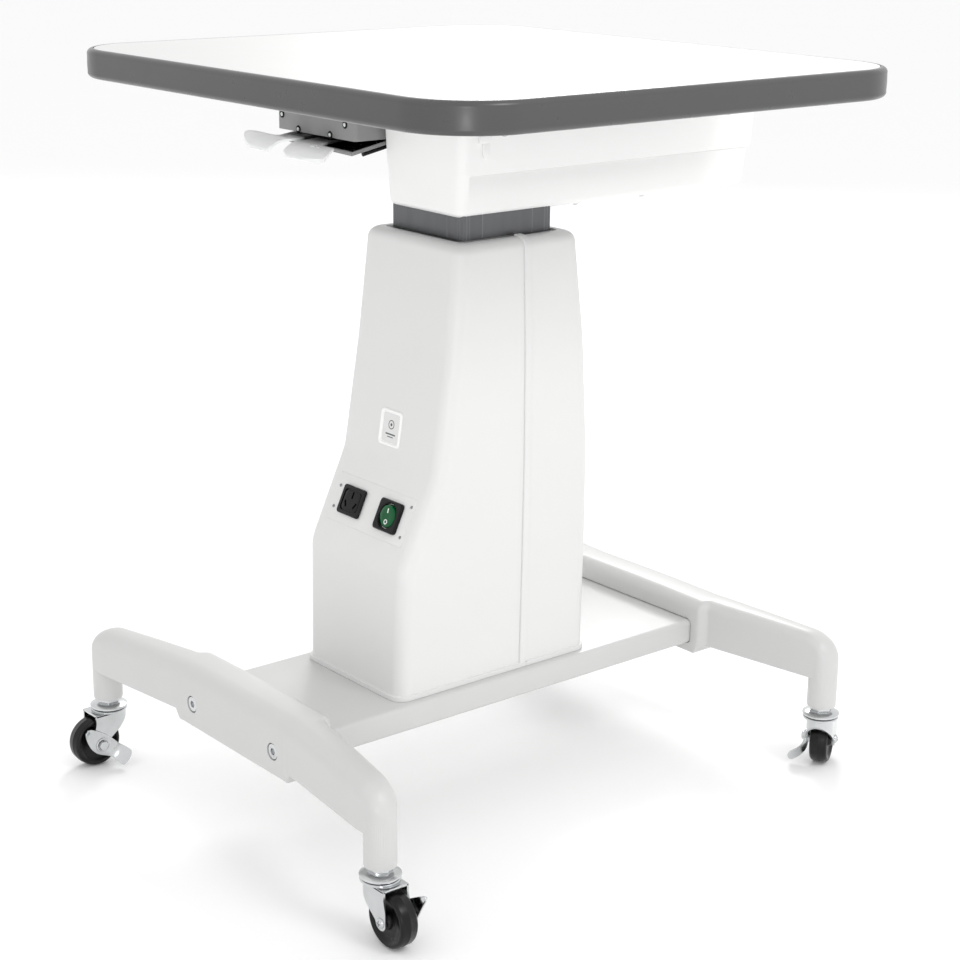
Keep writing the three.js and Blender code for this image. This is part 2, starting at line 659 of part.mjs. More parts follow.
// The rocker is a slice of a ball, so it turns in its round bore without touching.
function rocker() {
  const profile = [new THREE.Vector2(0, -7.5)];
  const from = Math.asin(-7.5 / ROCKER_RADIUS);
  const to = Math.asin(3.8 / ROCKER_RADIUS);
  for (let i = 0; i <= 5; i++) {
    const angle = from + ((to - from) * i) / 5;
    profile.push(new THREE.Vector2(ROCKER_RADIUS * Math.cos(angle), ROCKER_RADIUS * Math.sin(angle)));
  }
  profile.push(new THREE.Vector2(0, 4.6));
  return solid(new THREE.LatheGeometry(profile, 20).rotateX(Math.PI / 2));
}
const rockerMesh = part("rocker", rocker(), rockerGreen, powerFrame);
rockerMesh.position.set(SWITCH_X, 0, rockerCentre);
rockerMesh.rotation.x = radians(ROCKER_TILT);
part("badge_plate", sheet(BADGE_WIDTH, BADGE_HEIGHT, 3.5, -0.6, BADGE_THICK - 0.6), badgeGrey, badgeFrame);

// ---- Tabletop ----
const topFront = TOP_CENTRE_Y - TOP_DEPTH / 2;
const topRear = TOP_CENTRE_Y + TOP_DEPTH / 2;
const topOutline = (inset, steps) =>
  roundedOutline(inset - TOP_WIDTH / 2, TOP_WIDTH / 2 - inset, topFront + inset, topRear - inset, TOP_CORNER - inset, steps);
function edgeBand() {
  const turns = [0, 30, 60, 90].map(radians);
  const lower = turns.map((a) => [BAND_ROUND * (1 - Math.sin(a)), underside + BAND_ROUND * (1 - Math.cos(a))]);
  const upper = lower.map(([inset, z]) => [inset, TOP_HEIGHT - (z - underside)]).reverse();
  const rings = [...lower, ...upper].map(([inset, z]) => levelRing(topOutline(inset, 8), z));
  return loft(rings, fromAbove).subtract(prism(topOutline(BAND_WIDTH, 8), underside - 1, TOP_HEIGHT + 1));
}
part("edge_band", edgeBand(), bandGrey, lift);
part("tabletop", prism(topOutline(BAND_WIDTH + GAP, 8), panelBottom, TOP_HEIGHT), laminate, lift);
part(
  "support_plate",
  box(-SUPPORT_HALF, SUPPORT_HALF, SUPPORT_FRONT, SUPPORT_REAR, supportBottom, supportTop),
  steel,
  lift,
);

// ---- Housing under the top: upper shell, lower pan and the control board in it ----
const panSide = tubeHalf + HOUSING_SIDE_ROOM;
const panFront = -tubeHalf - HOUSING_FRONT_ROOM;
const shellSide = panSide + 1;
const shellFront = panFront - 1;
const shellRear = HOUSING_REAR - HOUSING_DRAFT;
const panRear = shellRear - PAN_INSET;
const housingRing = (side, front, rear, corner, z) =>
  levelRing(roundedOutline(-side, side, front, rear, corner, 3), z);

function upperShell() {
  const bottom = housingSeam + GAP;
  const outer = loft(
    [
      housingRing(shellSide, shellFront, shellRear, HOUSING_CORNER, bottom),
      housingRing(shellSide + HOUSING_DRAFT, shellFront - HOUSING_DRAFT / 2, HOUSING_REAR, HOUSING_CORNER, housingTop),
    ],
    fromAbove,
  );
  const wall = HOUSING_WALL;
  const inner = loft(
    [
      housingRing(shellSide - wall, shellFront + wall, shellRear - wall, HOUSING_CORNER - wall, bottom - 1),
      housingRing(
        shellSide + HOUSING_DRAFT - wall,
        shellFront - HOUSING_DRAFT / 2 + wall,
        HOUSING_REAR - wall,
        HOUSING_CORNER - wall,
        housingTop - wall,
      ),
    ],
    fromAbove,
  );
  const headRoom = headHalf + GAP;
  return outer.subtract(inner).subtract(box(-headRoom, headRoom, -headRoom, headRoom, housingTop - 9, housingTop + 9));
}
part("housing_upper", upperShell(), coverWhite, lift);

function lowerPan() {
  const rounds = [0, 30, 60, 90].map((turn) => {
    const inset = PAN_ROUND * (1 - Math.sin(radians(turn)));
    const z = housingBottom + PAN_ROUND * (1 - Math.cos(radians(turn)));
    return housingRing(panSide - 1 - inset, panFront + 0.5 + inset, panRear - 2 - inset, HOUSING_CORNER - inset, z);
  });
  const outer = loft(
    [...rounds, housingRing(panSide, panFront, panRear, HOUSING_CORNER, housingSeam)],
    fromAbove,
  );
  const wall = HOUSING_WALL;
  const inner = loft(
    [
      housingRing(panSide - 1 - wall, panFront + 0.5 + wall, panRear - 2 - wall, HOUSING_CORNER - wall, housingBottom + wall),
      housingRing(panSide - wall, panFront + wall, panRear - wall, HOUSING_CORNER - wall, housingSeam + 1),
    ],
    fromAbove,
  );
  const room = tubeHalf + GAP;
  return outer.subtract(inner).subtract(box(-room, room, -room, room, housingBottom - 5, housingSeam + 5));
}
part("housing_lower", lowerPan(), coverWhite, lift);

const BOARD_HALF = 40;
const BOARD_FRONT = 80;
const BOARD_REAR = 220;
const BOARD_THICK = 1.6;
const boardBottom = housingBottom + HOUSING_WALL + 8;
const boardTop = boardBottom + BOARD_THICK;
const control = unite([
  box(-BOARD_HALF, BOARD_HALF, BOARD_FRONT, BOARD_REAR, boardBottom, boardTop),
  box(-30, -8, BOARD_FRONT + 12, BOARD_FRONT + 40, boardTop - 0.5, boardTop + 16),
  box(0, 30, BOARD_FRONT + 15, BOARD_FRONT + 35, boardTop - 0.5, boardTop + 12),
  box(-25, 25, BOARD_FRONT + 90, BOARD_FRONT + 100, boardTop - 0.5, boardTop + 25),
]);
part("control_board", control, boardGreen, lift);

// ---- Lever box: cover, sloped tray, two paddles on one pin, their switches and the cable ----
const lever = new THREE.Group();
lever.position.x = LEVER_X;
lift.add(lever);
const boxTop = supportBottom - GAP;
const boxBottom = underside - BOX_HEIGHT;
const boxRear = BOX_FRONT_Y + BOX_DEPTH;
const wall = BOX_WALL;
const leverBox = prism(roundedOutline(-BOX_HALF, BOX_HALF, BOX_FRONT_Y, boxRear, 3, 2), boxBottom, boxTop).subtract(
  box(wall - BOX_HALF, BOX_HALF - wall, BOX_FRONT_Y + wall, boxRear - wall, boxBottom - 1, boxTop - wall),
);
part("lever_box", leverBox, greyCoat, lever);

const pivotY = BOX_FRONT_Y + PADDLE_PIVOT_BACK;
const pivotZ = boxBottom + PADDLE_PIVOT_RISE;
const trayFront = BOX_FRONT_Y - 2;
const trayRear = boxRear - wall - 2;
const trayHalf = BOX_HALF - wall - GAP;
// The tray's underside: level along its rear edge, and lower at its right front corner than at its left.
function trayBottomAt(x, y) {
  const share = (x + trayHalf) / (2 * trayHalf);
  const front = boxBottom - TRAY_LEFT_DROP - share * (TRAY_RIGHT_DROP - TRAY_LEFT_DROP);
  const rear = boxBottom + TRAY_REAR_RISE;
  return front + ((y - trayFront) / (trayRear - trayFront)) * (rear - front);
}
const trayTopAt = (x, y) => trayBottomAt(x, y) + TRAY_THICK;
// It carries three ears for the pivot pin and a rear wall for the switches.
function tray() {
  const section = (x) =>
    [
      [trayFront, trayBottomAt(x, trayFront)],
      [trayRear, trayBottomAt(x, trayRear)],
      [trayRear, pivotZ + 12],
      [trayRear - 2, pivotZ + 12],
      [trayRear - 2, trayTopAt(x, trayRear - 2)],
      [trayFront, trayTopAt(x, trayFront)],
    ].map(([y, z]) => [x, y, z]);
  const folded = loft([section(-trayHalf), section(trayHalf)], fromRight);
  const ears = [1.6 - trayHalf, 0, trayHalf - 1.6].map((x) =>
    box(x - 1.5, x + 1.5, pivotY - 4, pivotY + 4, trayTopAt(x, pivotY) - 2, pivotZ + 4).subtract(
      bar("x", PADDLE_PIVOT_RADIUS + RUN, x - 3, x + 3, [0, pivotY, pivotZ], 12),
    ),
  );
  return unite([folded, ...ears]);
}
part("lever_tray", tray(), greyCoat, lever);
const pinHalf = trayHalf - 0.2;
part("paddle_pin", bar("x", PADDLE_PIVOT_RADIUS, -pinHalf, pinHalf, [0, pivotY, pivotZ], 12), steel, lever);

// The right paddle: a sloping tongue out of the box, a wide lip curled down in front, and a boss on the pin.
const paddleTopAt = (y) => boxBottom - PADDLE_DROP + (y - BOX_FRONT_Y) * PADDLE_SLOPE;
const lipBackY = BOX_FRONT_Y - LIP_BACK;
function paddleSheet(rear) {
  const start = Math.atan(PADDLE_SLOPE);
  const end = radians(LIP_CURL_ANGLE);
  const centreY = lipBackY + LIP_CURL_RADIUS * Math.sin(start);
  const centreZ = paddleTopAt(lipBackY) - LIP_CURL_RADIUS * Math.cos(start);
  const curl = (radius, angle) => [centreY - radius * Math.sin(angle), centreZ + radius * Math.cos(angle)];
  const angles = Array.from({ length: 7 }, (_, i) => start + ((end - start) * i) / 6);
  return [
    [rear, paddleTopAt(rear)],
    ...angles.map((angle) => curl(LIP_CURL_RADIUS, angle)),
    ...angles.map((angle) => curl(LIP_CURL_RADIUS - PADDLE_THICK, angle)).reverse(),
    [rear, paddleTopAt(rear) - PADDLE_THICK],
  ];
}
function paddlePlan(rear) {
  const tip = lipBackY - 20;
  const outline = [
    [TONGUE_INNER, rear],
    [TONGUE_INNER, lipBackY + 8],
    [TONGUE_INNER + 3, lipBackY - 2],
    [LIP_INNER, lipBackY - 6],
    [LIP_INNER + 1, tip],
    [LIP_OUTER - 16, tip],
  ];
  for (let turn = -60; turn <= 90; turn += 30)
    outline.push([LIP_OUTER - 10 + 10 * Math.cos(radians(turn)), lipBackY - 10 + 10 * Math.sin(radians(turn))]);
  outline.push([TONGUE_OUTER + 7, lipBackY], [TONGUE_OUTER + 2, lipBackY + 2], [TONGUE_OUTER, lipBackY + 7]);
  outline.push([TONGUE_OUTER, rear]);
  return outline;
}
function paddle() {
  const rear = pivotY - PADDLE_BOSS + 1.5;
  const section = (x) => paddleSheet(rear).map(([y, z]) => [x, y, z]);
  const plate = loft([section(0), section(LIP_OUTER + 5)], fromRight).intersect(
    prism(paddlePlan(rear), boxBottom - 60, boxBottom + 20),
  );
  const inner = TONGUE_INNER + 2;
  const outer = TONGUE_OUTER - 2;
  const halfSheet = PADDLE_THICK / 2;
  const neck = box(inner, outer, rear - 3, pivotY + PADDLE_TAIL, pivotZ - halfSheet, pivotZ + halfSheet);
  const riser = box(inner, outer, rear - 4, rear, paddleTopAt(rear - 4) - PADDLE_THICK + 0.5, pivotZ + halfSheet);
  const boss = bar("x", PADDLE_BOSS, inner, outer, [0, pivotY, pivotZ], 12);
  const bore = bar("x", PADDLE_PIVOT_RADIUS + RUN, 0, outer + 5, [0, pivotY, pivotZ], 12);
  return unite([plate, neck, riser, boss]).subtract(bore);
}
const switchRear = boxRear - wall - 4 - GAP;
for (const [hand, side] of [["left", -1], ["right", 1]]) {
  const body = side > 0 ? paddle() : paddle().mirror([1, 0, 0]);
  part(`paddle_${hand}`, body, paddleGrey, lever);
  const x = (side * (TONGUE_INNER + TONGUE_OUTER)) / 2;
  const block = box(x - 10, x + 10, pivotY + 4, switchRear, pivotZ + 4, pivotZ + 11);
  const plunger = bar("z", 1.5, pivotZ + 2.4, pivotZ + 5, [x, pivotY + 11, 0], 8);
  part(`microswitch_${hand}`, block.add(plunger), mouldedBlack, lever);
}

// The control cable runs back under the tray's right edge and turns into the housing's side.
const cableX = trayHalf - 2.2;
const cableUnder = (y) => trayBottomAt(cableX, y) - CABLE_RADIUS - GAP;
const housingWallAt = (z) => shellSide + (HOUSING_DRAFT * (z - housingSeam)) / (housingTop - housingSeam);
const cableTurnZ = cableUnder(BOX_FRONT_Y + 52);
const cableEndX = -housingWallAt(cableTurnZ + CABLE_RADIUS) - GAP - LEVER_X;
const cablePath = new THREE.CatmullRomCurve3(
  [
    [cableX, BOX_FRONT_Y + 12, cableUnder(BOX_FRONT_Y + 12)],
    [cableX, BOX_FRONT_Y + 32, cableUnder(BOX_FRONT_Y + 32)],
    [cableX + 0.5, BOX_FRONT_Y + 50, cableUnder(BOX_FRONT_Y + 50)],
    [cableX + 3, BOX_FRONT_Y + 58, cableTurnZ],
    [cableEndX - 2, BOX_FRONT_Y + 61, cableTurnZ],
    [cableEndX, BOX_FRONT_Y + 61, cableTurnZ],
  ].map((point) => new THREE.Vector3(...point)),
);
const cableSection = new THREE.Shape();
cableSection.absarc(0, 0, CABLE_RADIUS, 0, 2 * Math.PI);
const cable = new THREE.ExtrudeGeometry(cableSection, { steps: 20, curveSegments: 8, extrudePath: cablePath });
part("control_cable", solid(cable), mouldedBlack, lever);

// ---- Casters: X is the trail's direction, Y the axle's ----
const armInner = WHEEL_HUB / 2 + 0.8;
const armOuter = armInner + FORK_SHEET;
const brakeInner = armOuter + 0.4;
const brakeOuter = brakeInner + BRAKE_SHEET;

function stem() {
  return unite([
    bar("z", STEM_NUT_RADIUS, capTop - 0.5, nutTop, [0, 0, 0], 6),
    bar("z", CAP_RADIUS - 2.5, capTop - 1.5, capTop, [0, 0, 0], ROUND_SIDES),
    bar("z", CAP_RADIUS, capBottom, capTop - 1.2, [0, 0, 0], ROUND_SIDES),
    bar("z", STEM_RADIUS, nutTop - 1, nutTop + STEM_LENGTH, [0, 0, 0], 12),
    bar("z", KINGPIN_RADIUS, crownBottom - 1, capBottom + 1, [0, 0, 0], 12),
    bar("z", KINGPIN_RADIUS + 2.5, crownBottom - 2.2, crownBottom - GAP, [0, 0, 0], 12),
  ]);
}

function fork() {
  const crown = bar("z", FORK_DISC, crownBottom, crownTop, [0, 0, 0], ROUND_SIDES).add(
    box(0, FORK_TAIL, -armOuter, armOuter, crownBottom, crownTop),
  );
  const race = bar("z", RACE_RADIUS, crownTop - 0.5, crownTop + RACE_HEIGHT, [0, 0, 0], ROUND_SIDES);
  const eye = 7.5;
  const outline = [
    [-11, crownTop],
    [-11, crownBottom - 4],
  ];
  for (let turn = -133; turn <= 0; turn += 19)
    outline.push([CASTER_TRAIL + eye * Math.cos(radians(turn)), WHEEL_RADIUS + eye * Math.sin(radians(turn))]);
  outline.push([FORK_TAIL - 1, crownBottom - 6], [FORK_TAIL, crownTop]);
  const arms = [platePrism(outline, armInner, armOuter), platePrism(outline, -armOuter, -armInner)];
  const pinHole = bar("z", KINGPIN_RADIUS + RUN, crownBottom - 5, crownTop + 5, [0, 0, 0], 12);
  const axleHole = bar("y", AXLE_RADIUS + RUN, -30, 30, [CASTER_TRAIL, 0, WHEEL_RADIUS], 12);
  return unite([crown, race, ...arms]).subtract(pinHole).subtract(axleHole);
}

function wheel() {
  const half = WHEEL_WIDTH / 2;
  const hub = WHEEL_HUB / 2;
  const side = [
    [AXLE_RADIUS + RUN, hub],
    [8.5, hub],
    [9.5, half - 2.5],
    [WHEEL_RADIUS - 5.5, half - 2.5],
    [WHEEL_RADIUS - 4, half],
    [WHEEL_RADIUS - 2, half],
    [WHEEL_RADIUS, half - 2.5],
  ];
  const other = side.map(([radius, y]) => [radius, -y]).reverse();
  const profile = [...other, ...side].reverse().map(([radius, y]) => new THREE.Vector2(radius, y));
  profile.push(profile[0].clone());
  return solid(new THREE.LatheGeometry(profile, ROUND_SIDES));
}

function axle() {
  return unite([
    bar("y", AXLE_RADIUS, -armOuter - 1, brakeOuter + 1, [0, 0, 0], 12),
    bar("y", 4.6, -armOuter - GAP - 2.4, -armOuter - GAP, [0, 0, 0], 12),
    bar("y", 5, brakeOuter + GAP, brakeOuter + GAP + 2.6, [0, 0, 0], 6),
  ]);
}

// The brake lever is a stamped wing: one end up on the trail's side, the other a pedal near the floor.
function brake() {
  const outline = [
    [19, 16],
    [16, 21],
    [7, 14],
    [-4, 11],
    [-13, 2],
    [-23, -9],
    [-19, -15.5],
    [-10, -12],
    [-1, -10.5],
    [9, -7],
    [14, 3],
  ];
  const wing = platePrism([...outline].reverse(), brakeInner, brakeOuter);
  const tab = (x, z, length, turn, reach) => {
    const geometry = new THREE.BoxGeometry(length, reach, BRAKE_SHEET);
    return solid(geometry.rotateY(radians(turn)).translate(x, brakeInner + reach / 2, z));
  };
  return unite([wing, tab(-20.6, -11.8, 7, 62, BRAKE_TAB), tab(17, 18, 5, 62, BRAKE_TAB / 2)]).subtract(
    bar("y", AXLE_RADIUS + RUN, 0, 40, [0, 0, 0], 12),
  );
}

for (const { place, x, y, heading } of CASTERS) {
  const group = new THREE.Group();
  group.position.set(x * POST_SPREAD, y, 0);
  group.rotation.z = radians(heading);
  table.add(group);
  part(`caster_stem_${place}`, stem(), chrome, group);
  part(`fork_${place}`, fork(), chrome, group);
  const wheelGroup = new THREE.Group();
  wheelGroup.position.set(CASTER_TRAIL, 0, WHEEL_RADIUS);
  group.add(wheelGroup);
  part(`wheel_${place}`, wheel(), tyreBlack, wheelGroup);
  part(`axle_${place}`, axle(), chrome, wheelGroup);
  part(`brake_${place}`, brake(), chrome, wheelGroup);
}

export default table;
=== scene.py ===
"""A motorised instrument table in Blender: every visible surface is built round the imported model."""

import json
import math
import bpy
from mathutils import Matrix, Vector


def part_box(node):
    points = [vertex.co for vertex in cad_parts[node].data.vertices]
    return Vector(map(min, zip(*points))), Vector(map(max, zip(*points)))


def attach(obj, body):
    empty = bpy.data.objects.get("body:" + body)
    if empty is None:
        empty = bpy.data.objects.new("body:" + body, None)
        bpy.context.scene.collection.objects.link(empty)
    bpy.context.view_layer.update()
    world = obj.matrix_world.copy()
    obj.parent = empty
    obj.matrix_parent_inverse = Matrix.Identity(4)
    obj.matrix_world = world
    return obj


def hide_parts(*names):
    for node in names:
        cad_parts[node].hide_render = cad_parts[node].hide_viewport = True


bl_info = {
    "name": "Instrument Table",
    "version": (1, 0, 0),
    "blender": (4, 5, 0),
    "location": "View3D > Sidebar > Instrument Table",
    "description": "Builds a wheeled instrument table with a lifting column round its packed model",
    "category": "Add Mesh",
}

import bmesh
import bpy
import numpy as np
from mathutils import Matrix, Vector

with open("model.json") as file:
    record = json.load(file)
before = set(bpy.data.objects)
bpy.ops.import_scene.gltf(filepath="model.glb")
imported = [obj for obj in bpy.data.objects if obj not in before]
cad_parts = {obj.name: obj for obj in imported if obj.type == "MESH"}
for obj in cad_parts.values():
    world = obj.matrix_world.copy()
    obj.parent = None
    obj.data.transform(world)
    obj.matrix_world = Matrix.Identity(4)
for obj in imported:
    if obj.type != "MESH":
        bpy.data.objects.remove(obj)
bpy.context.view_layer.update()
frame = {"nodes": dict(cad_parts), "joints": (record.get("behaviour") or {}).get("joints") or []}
JOINTS = {joint["name"]: joint for joint in frame["joints"]}

MM = 0.001
CORNERS = ("front_right", "front_left", "rear_right", "rear_left")
HANDS = ((-1, "left"), (1, "right"))


def span(node):
    """Lowest and highest corners of a CAD node, in millimetres."""
    low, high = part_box(node)
    return low / MM, high / MM


BAND_LOW, BAND_HIGH = span("edge_band")
TUBE_LOW, TUBE_HIGH = span("sliding_tube")
COVER_HIGH = span("cover_front")[1]
BEAM_LOW, BEAM_HIGH = span("base_beam")
FOOT_LOW, FOOT_HIGH = span("front_foot")
BOX_LOW, BOX_HIGH = span("lever_box")
TRAY_LOW, TRAY_HIGH = span("lever_tray")
SHELL_LOW, SHELL_HIGH = span("housing_upper")
PAN_LOW, PAN_HIGH = span("housing_lower")
TUBE_HALF = TUBE_HIGH.x


# ---- What a user would change ----


def size_of(name, description, default, low):
    return bpy.props.FloatProperty(name=name, description=description, default=default, min=low)


def colour_of(name, description, default):
    return bpy.props.StringProperty(name=name, description=description, default=default)


def angle_of(name, description, degrees):
    radians = math.radians(degrees)
    return bpy.props.FloatProperty(name=name, description=description, default=radians, subtype="ANGLE")


class TableSizes(bpy.types.PropertyGroup):
    """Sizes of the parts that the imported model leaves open, in millimetres."""

    band_width: size_of("Edge moulding width", "How far the edge moulding reaches in", 6.0, 4.0)
    top_corner: size_of("Top corner radius", "Radius of the top's corners", 70.0, 20.0)
    cover_corner: size_of("Cover corner radius", "Radius of the cover's upright edges", 14.0, 4.0)
    cover_softness: size_of("Slope edge softness", "Half the height that rounds the slope's edges", 7.0, 1.0)
    rib_proud: size_of("Rib height", "How far the parting rib stands out of the cover", 1.8, 0.2)
    foot_crown: size_of("Foot edge radius", "Radius of the feet's upper outer edge", 16.0, 4.0)
    wheel_tread: size_of("Tread width", "Width of the wheels at the tread", 18.0, 10.0)
    screw_head: size_of("Screw head", "Diameter of the heads of the screws under the top", 8.0, 3.0)


class TableColours(bpy.types.PropertyGroup):
    """Colours of the finishes, as sRGB hex values."""

    laminate: colour_of("Laminate", "The top's surface", "#d2d2d1")
    moulding: colour_of("Edge moulding", "The top's edge", "#4c4c4c")
    enamel: colour_of("Enamel", "Feet and base beam", "#c9c9c8")
    plastic: colour_of("White plastic", "Covers", "#dcdcdb")
    anodised: colour_of("Anodised tube", "Lifting tube", "#6b6c6e")
    grey_paint: colour_of("Grey paint", "Lever box", "#909090")
    # Painted light: the cover's white plastic made brighter, for the housing in the top's shade and for the
    # badge's rim.
    housing: colour_of("Housing plastic", "Housing under the top, and the badge's rim", "#f6f6f5")
    tyre: colour_of("Tyre", "Caster wheels", "#080808")
    rocker: colour_of("Rocker", "Power switch", "#005c30")


class StageSettings(bpy.types.PropertyGroup):
    """Camera and light round the table."""

    azimuth: angle_of("Azimuth", "Camera's direction round the table", 50.55)
    elevation: angle_of("Elevation", "Camera's angle above the horizon", 16.87)
    roll: angle_of("Roll", "Camera's tilt about its own axis", 0.58)
    lens: bpy.props.FloatProperty(name="Lens", description="Focal length", default=76.36, unit="CAMERA")
    place: bpy.props.FloatVectorProperty(
        name="Camera place", description="Where the camera stands", default=(1.47725, -1.20176, 0.87712)
    )
    daylight: size_of("Daylight", "Strength of the light from all round", 1.0, 0.0)


def sizes():
    return bpy.context.scene.table_sizes


def colours():
    return bpy.context.scene.table_colours


# ---- Materials ----


def linear(code):
    """An sRGB hex value as linear red, green, blue and alpha."""
    channels = [int(code[i : i + 2], 16) / 255 for i in (1, 3, 5)]
    return [*(c / 12.92 if c <= 0.04045 else ((c + 0.055) / 1.055) ** 2.4 for c in channels), 1.0]


def add_node(tree, kind, settings=None, **inputs):
    """Adds a node, sets its properties, and fills its inputs with values or links from sockets."""
    node = tree.nodes.new(kind)
    for key, value in (settings or {}).items():
        setattr(node, key, value)
    for key, value in inputs.items():
        socket = node.inputs[int(key[1:])] if key[1:].isdigit() else node.inputs[key.replace("_", " ")]
        if isinstance(value, bpy.types.NodeSocket):
            tree.links.new(value, socket)
        else:
            socket.default_value = value
    return node


def finish_of(
    name, code, roughness, metallic=0.0, ior=1.5, grain=0.8, depth=0.02, shade=0.93, patch=40.0, **more
):
    """A surface with a fine bump, its grain and depth in millimetres, and broad faint patches of shade."""
    material = bpy.data.materials.get(name)
    if material:
        return material
    material = bpy.data.materials.new(name)
    material.use_nodes = True
    tree = material.node_tree
    tree.nodes.clear()
    place = add_node(tree, "ShaderNodeTexCoord").outputs["Object"]
    stretch = more.pop("stretch", (1.0, 1.0, 1.0))
    if stretch != (1.0, 1.0, 1.0):
        place = add_node(tree, "ShaderNodeMapping", Vector=place, Scale=stretch).outputs["Vector"]
    fine = add_node(tree, "ShaderNodeTexNoise", Vector=place, Scale=1 / (grain * MM), Detail=2.0)
    broad = add_node(tree, "ShaderNodeTexNoise", Vector=place, Scale=1 / (patch * MM), Detail=3.0)
    base = linear(code)
    darker = [c * shade for c in base[:3]] + [1.0]
    mixing = {"data_type": "RGBA"}
    tint = add_node(tree, "ShaderNodeMix", mixing, Factor=broad.outputs["Fac"], _6=base, _7=darker)
    root = more.pop("root", None)
    if root:
        # Painted shade: towards the back, between two places along Y in millimetres, the colour changes to a
        # darker one where the part runs into shadow.
        start, end, shade_colour = root
        along = add_node(tree, "ShaderNodeSeparateXYZ", Vector=place)
        reach = {"From_Min": start * MM, "From_Max": end * MM}
        share = add_node(tree, "ShaderNodeMapRange", Value=along.outputs["Y"], **reach).outputs["Result"]
        tint = add_node(tree, "ShaderNodeMix", mixing, Factor=share, _6=tint.outputs[2], _7=linear(shade_colour))
    spread = more.pop("roughness_spread", 0.08)
    reach = {"To_Min": roughness - spread, "To_Max": roughness + spread}
    rough = add_node(tree, "ShaderNodeMapRange", Value=broad.outputs["Fac"], **reach)
    amount = {"Strength": more.pop("strength", 0.35), "Distance": depth * MM}
    bump = add_node(tree, "ShaderNodeBump", Height=fine.outputs["Fac"], **amount)
    shader = add_node(
        tree,
        "ShaderNodeBsdfPrincipled",
        Base_Color=tint.outputs[2],
        Roughness=rough.outputs["Result"],
        Metallic=metallic,
        IOR=ior,
        Normal=bump.outputs["Normal"],
        **more,
    )
    add_node(tree, "ShaderNodeOutputMaterial", Surface=shader.outputs["BSDF"])
    return material


def laminate():
    # High-pressure laminate, pressed against a fine matt plate: hard, white and softly glossy.
    look = {"grain": 0.6, "depth": 0.01, "shade": 0.985, "patch": 120}
    return finish_of("pressed_laminate", colours().laminate, 0.34, **look)


def edge_moulding():
    # Extruded soft PVC: an even grey with a satin skin, and a grain drawn coarser than real so that it shows.
    return finish_of("extruded_pvc", colours().moulding, 0.3, grain=1.1, depth=0.04, shade=0.93, patch=18)


def enamel():
    # Powder-coated aluminium: thick white paint with a faint orange peel and rounded highlights.
    return finish_of("powder_coat", colours().enamel, 0.36, grain=2.2, depth=0.035, shade=0.975, patch=60)


ABS_GRAIN = {"grain": 0.9, "depth": 0.03, "shade": 0.98, "patch": 90}


def white_plastic():
    # Moulded ABS from a spark-eroded tool: white, satin, with a fine even grain.
    return finish_of("moulded_abs", colours().plastic, 0.4, **ABS_GRAIN)


def brightened_housing_plastic():
    # The cover's moulded ABS with the same fine grain, made a brighter white as painted light for the housing
    # in the top's shade.
    return finish_of("moulded_abs_brightened", colours().housing, 0.4, **ABS_GRAIN)


def anodised():
    # Extruded aluminium, satin anodised: grey metal with fine streaks along the tube.
    return finish_of(
        "anodised_aluminium", colours().anodised, 0.4, 0.85, grain=0.7, depth=0.02, shade=0.86,
        patch=9, stretch=(1.0, 1.0, 0.04), roughness_spread=0.05,
    )


def grey_paint():
    # Stove-enamelled steel sheet: mid grey with a fine spatter texture.
    return finish_of("stove_enamel", colours().grey_paint, 0.5, grain=0.9, depth=0.06, shade=0.92, patch=16)


def chrome():
    # Zinc-plated steel, bright and slightly uneven, with the faint waves of a stamped sheet.
    wave = {"grain": 3.0, "depth": 0.06, "strength": 0.25}
    return finish_of("bright_zinc", "#d3d5d6", 0.2, 1.0, shade=0.85, patch=9, **wave)


def steel():
    # Turned and cut mild steel, plain and lightly oiled.
    return finish_of("plain_steel", "#9c9ea0", 0.38, 1.0, grain=1.0, depth=0.02, shade=0.85, patch=12)


def tyre():
    # Moulded rubber: near black, glossy on its sides, faintly greyed by dust.
    dust = {"shade": 1.9, "patch": 7}
    return finish_of("moulded_rubber", colours().tyre, 0.3, ior=1.36, grain=1.3, depth=0.06, **dust)


def black_plastic():
    # Moulded nylon: black, satin, fine grained.
    return finish_of("black_nylon", "#060607", 0.26, ior=1.33, grain=0.6, depth=0.02, shade=1.35, patch=10)


def dark_gap():
    # Nearly black and quite dull: painted shade in the gap round the tube at the cover's mouth, and the
    # washers under the box's screws.
    return finish_of("black_gap_shade_and_washers", "#050505", 0.95, grain=0.5, depth=0.1, shade=1.4, patch=6)


def green_lens():
    # Tinted polycarbonate over a lamp: deep green with a wet gloss.
    return finish_of(
        "tinted_polycarbonate", colours().rocker, 0.16, ior=1.35, grain=2.0, depth=0.01, shade=0.6, patch=9,
        roughness_spread=0.03,
    )


def marking():
    # Screen-printed ink, white and slightly raised.
    return finish_of("white_ink", "#eef3ef", 0.5, grain=0.4, depth=0.01, shade=0.95, patch=5)


def grey_ink():
    # Screen-printed ink, dark grey.
    return finish_of("grey_ink", "#545a59", 0.5, grain=0.4, depth=0.01, shade=0.95, patch=5)


def badge_face():
    # Anodised nameplate under a clear film: pale grey with a cool cast.
    return finish_of("film_nameplate", "#ced7d4", 0.3, grain=0.7, depth=0.01, shade=0.96, patch=14)


def paddle_paint():
    # White nylon dip over a steel stamping, softly glossy; towards the back it turns near black, painted
    # shade for the shadow in the slot under the box.
    lip = BOX_LOW.y
    return finish_of(
        "dipped_nylon_shaded_back", "#f8f9f9", 0.32, grain=1.6, depth=0.03, shade=0.95, patch=14,
        root=(lip - 24, lip - 9, "#161617"),
    )


def bushing():
    # Machined acetal: cream white, waxy and dull.
    return finish_of("machined_acetal", "#ded9c6", 0.55, grain=0.8, depth=0.02, shade=0.95, patch=20)


def board():
    # Glass-epoxy circuit board under green solder mask.
    return finish_of("solder_mask", "#1c5a38", 0.35, grain=1.4, depth=0.03, shade=0.7, patch=5)


# ---- Solids, in millimetres ----


def clamp(value, low=0.0, high=1.0):
    return max(low, min(high, value))


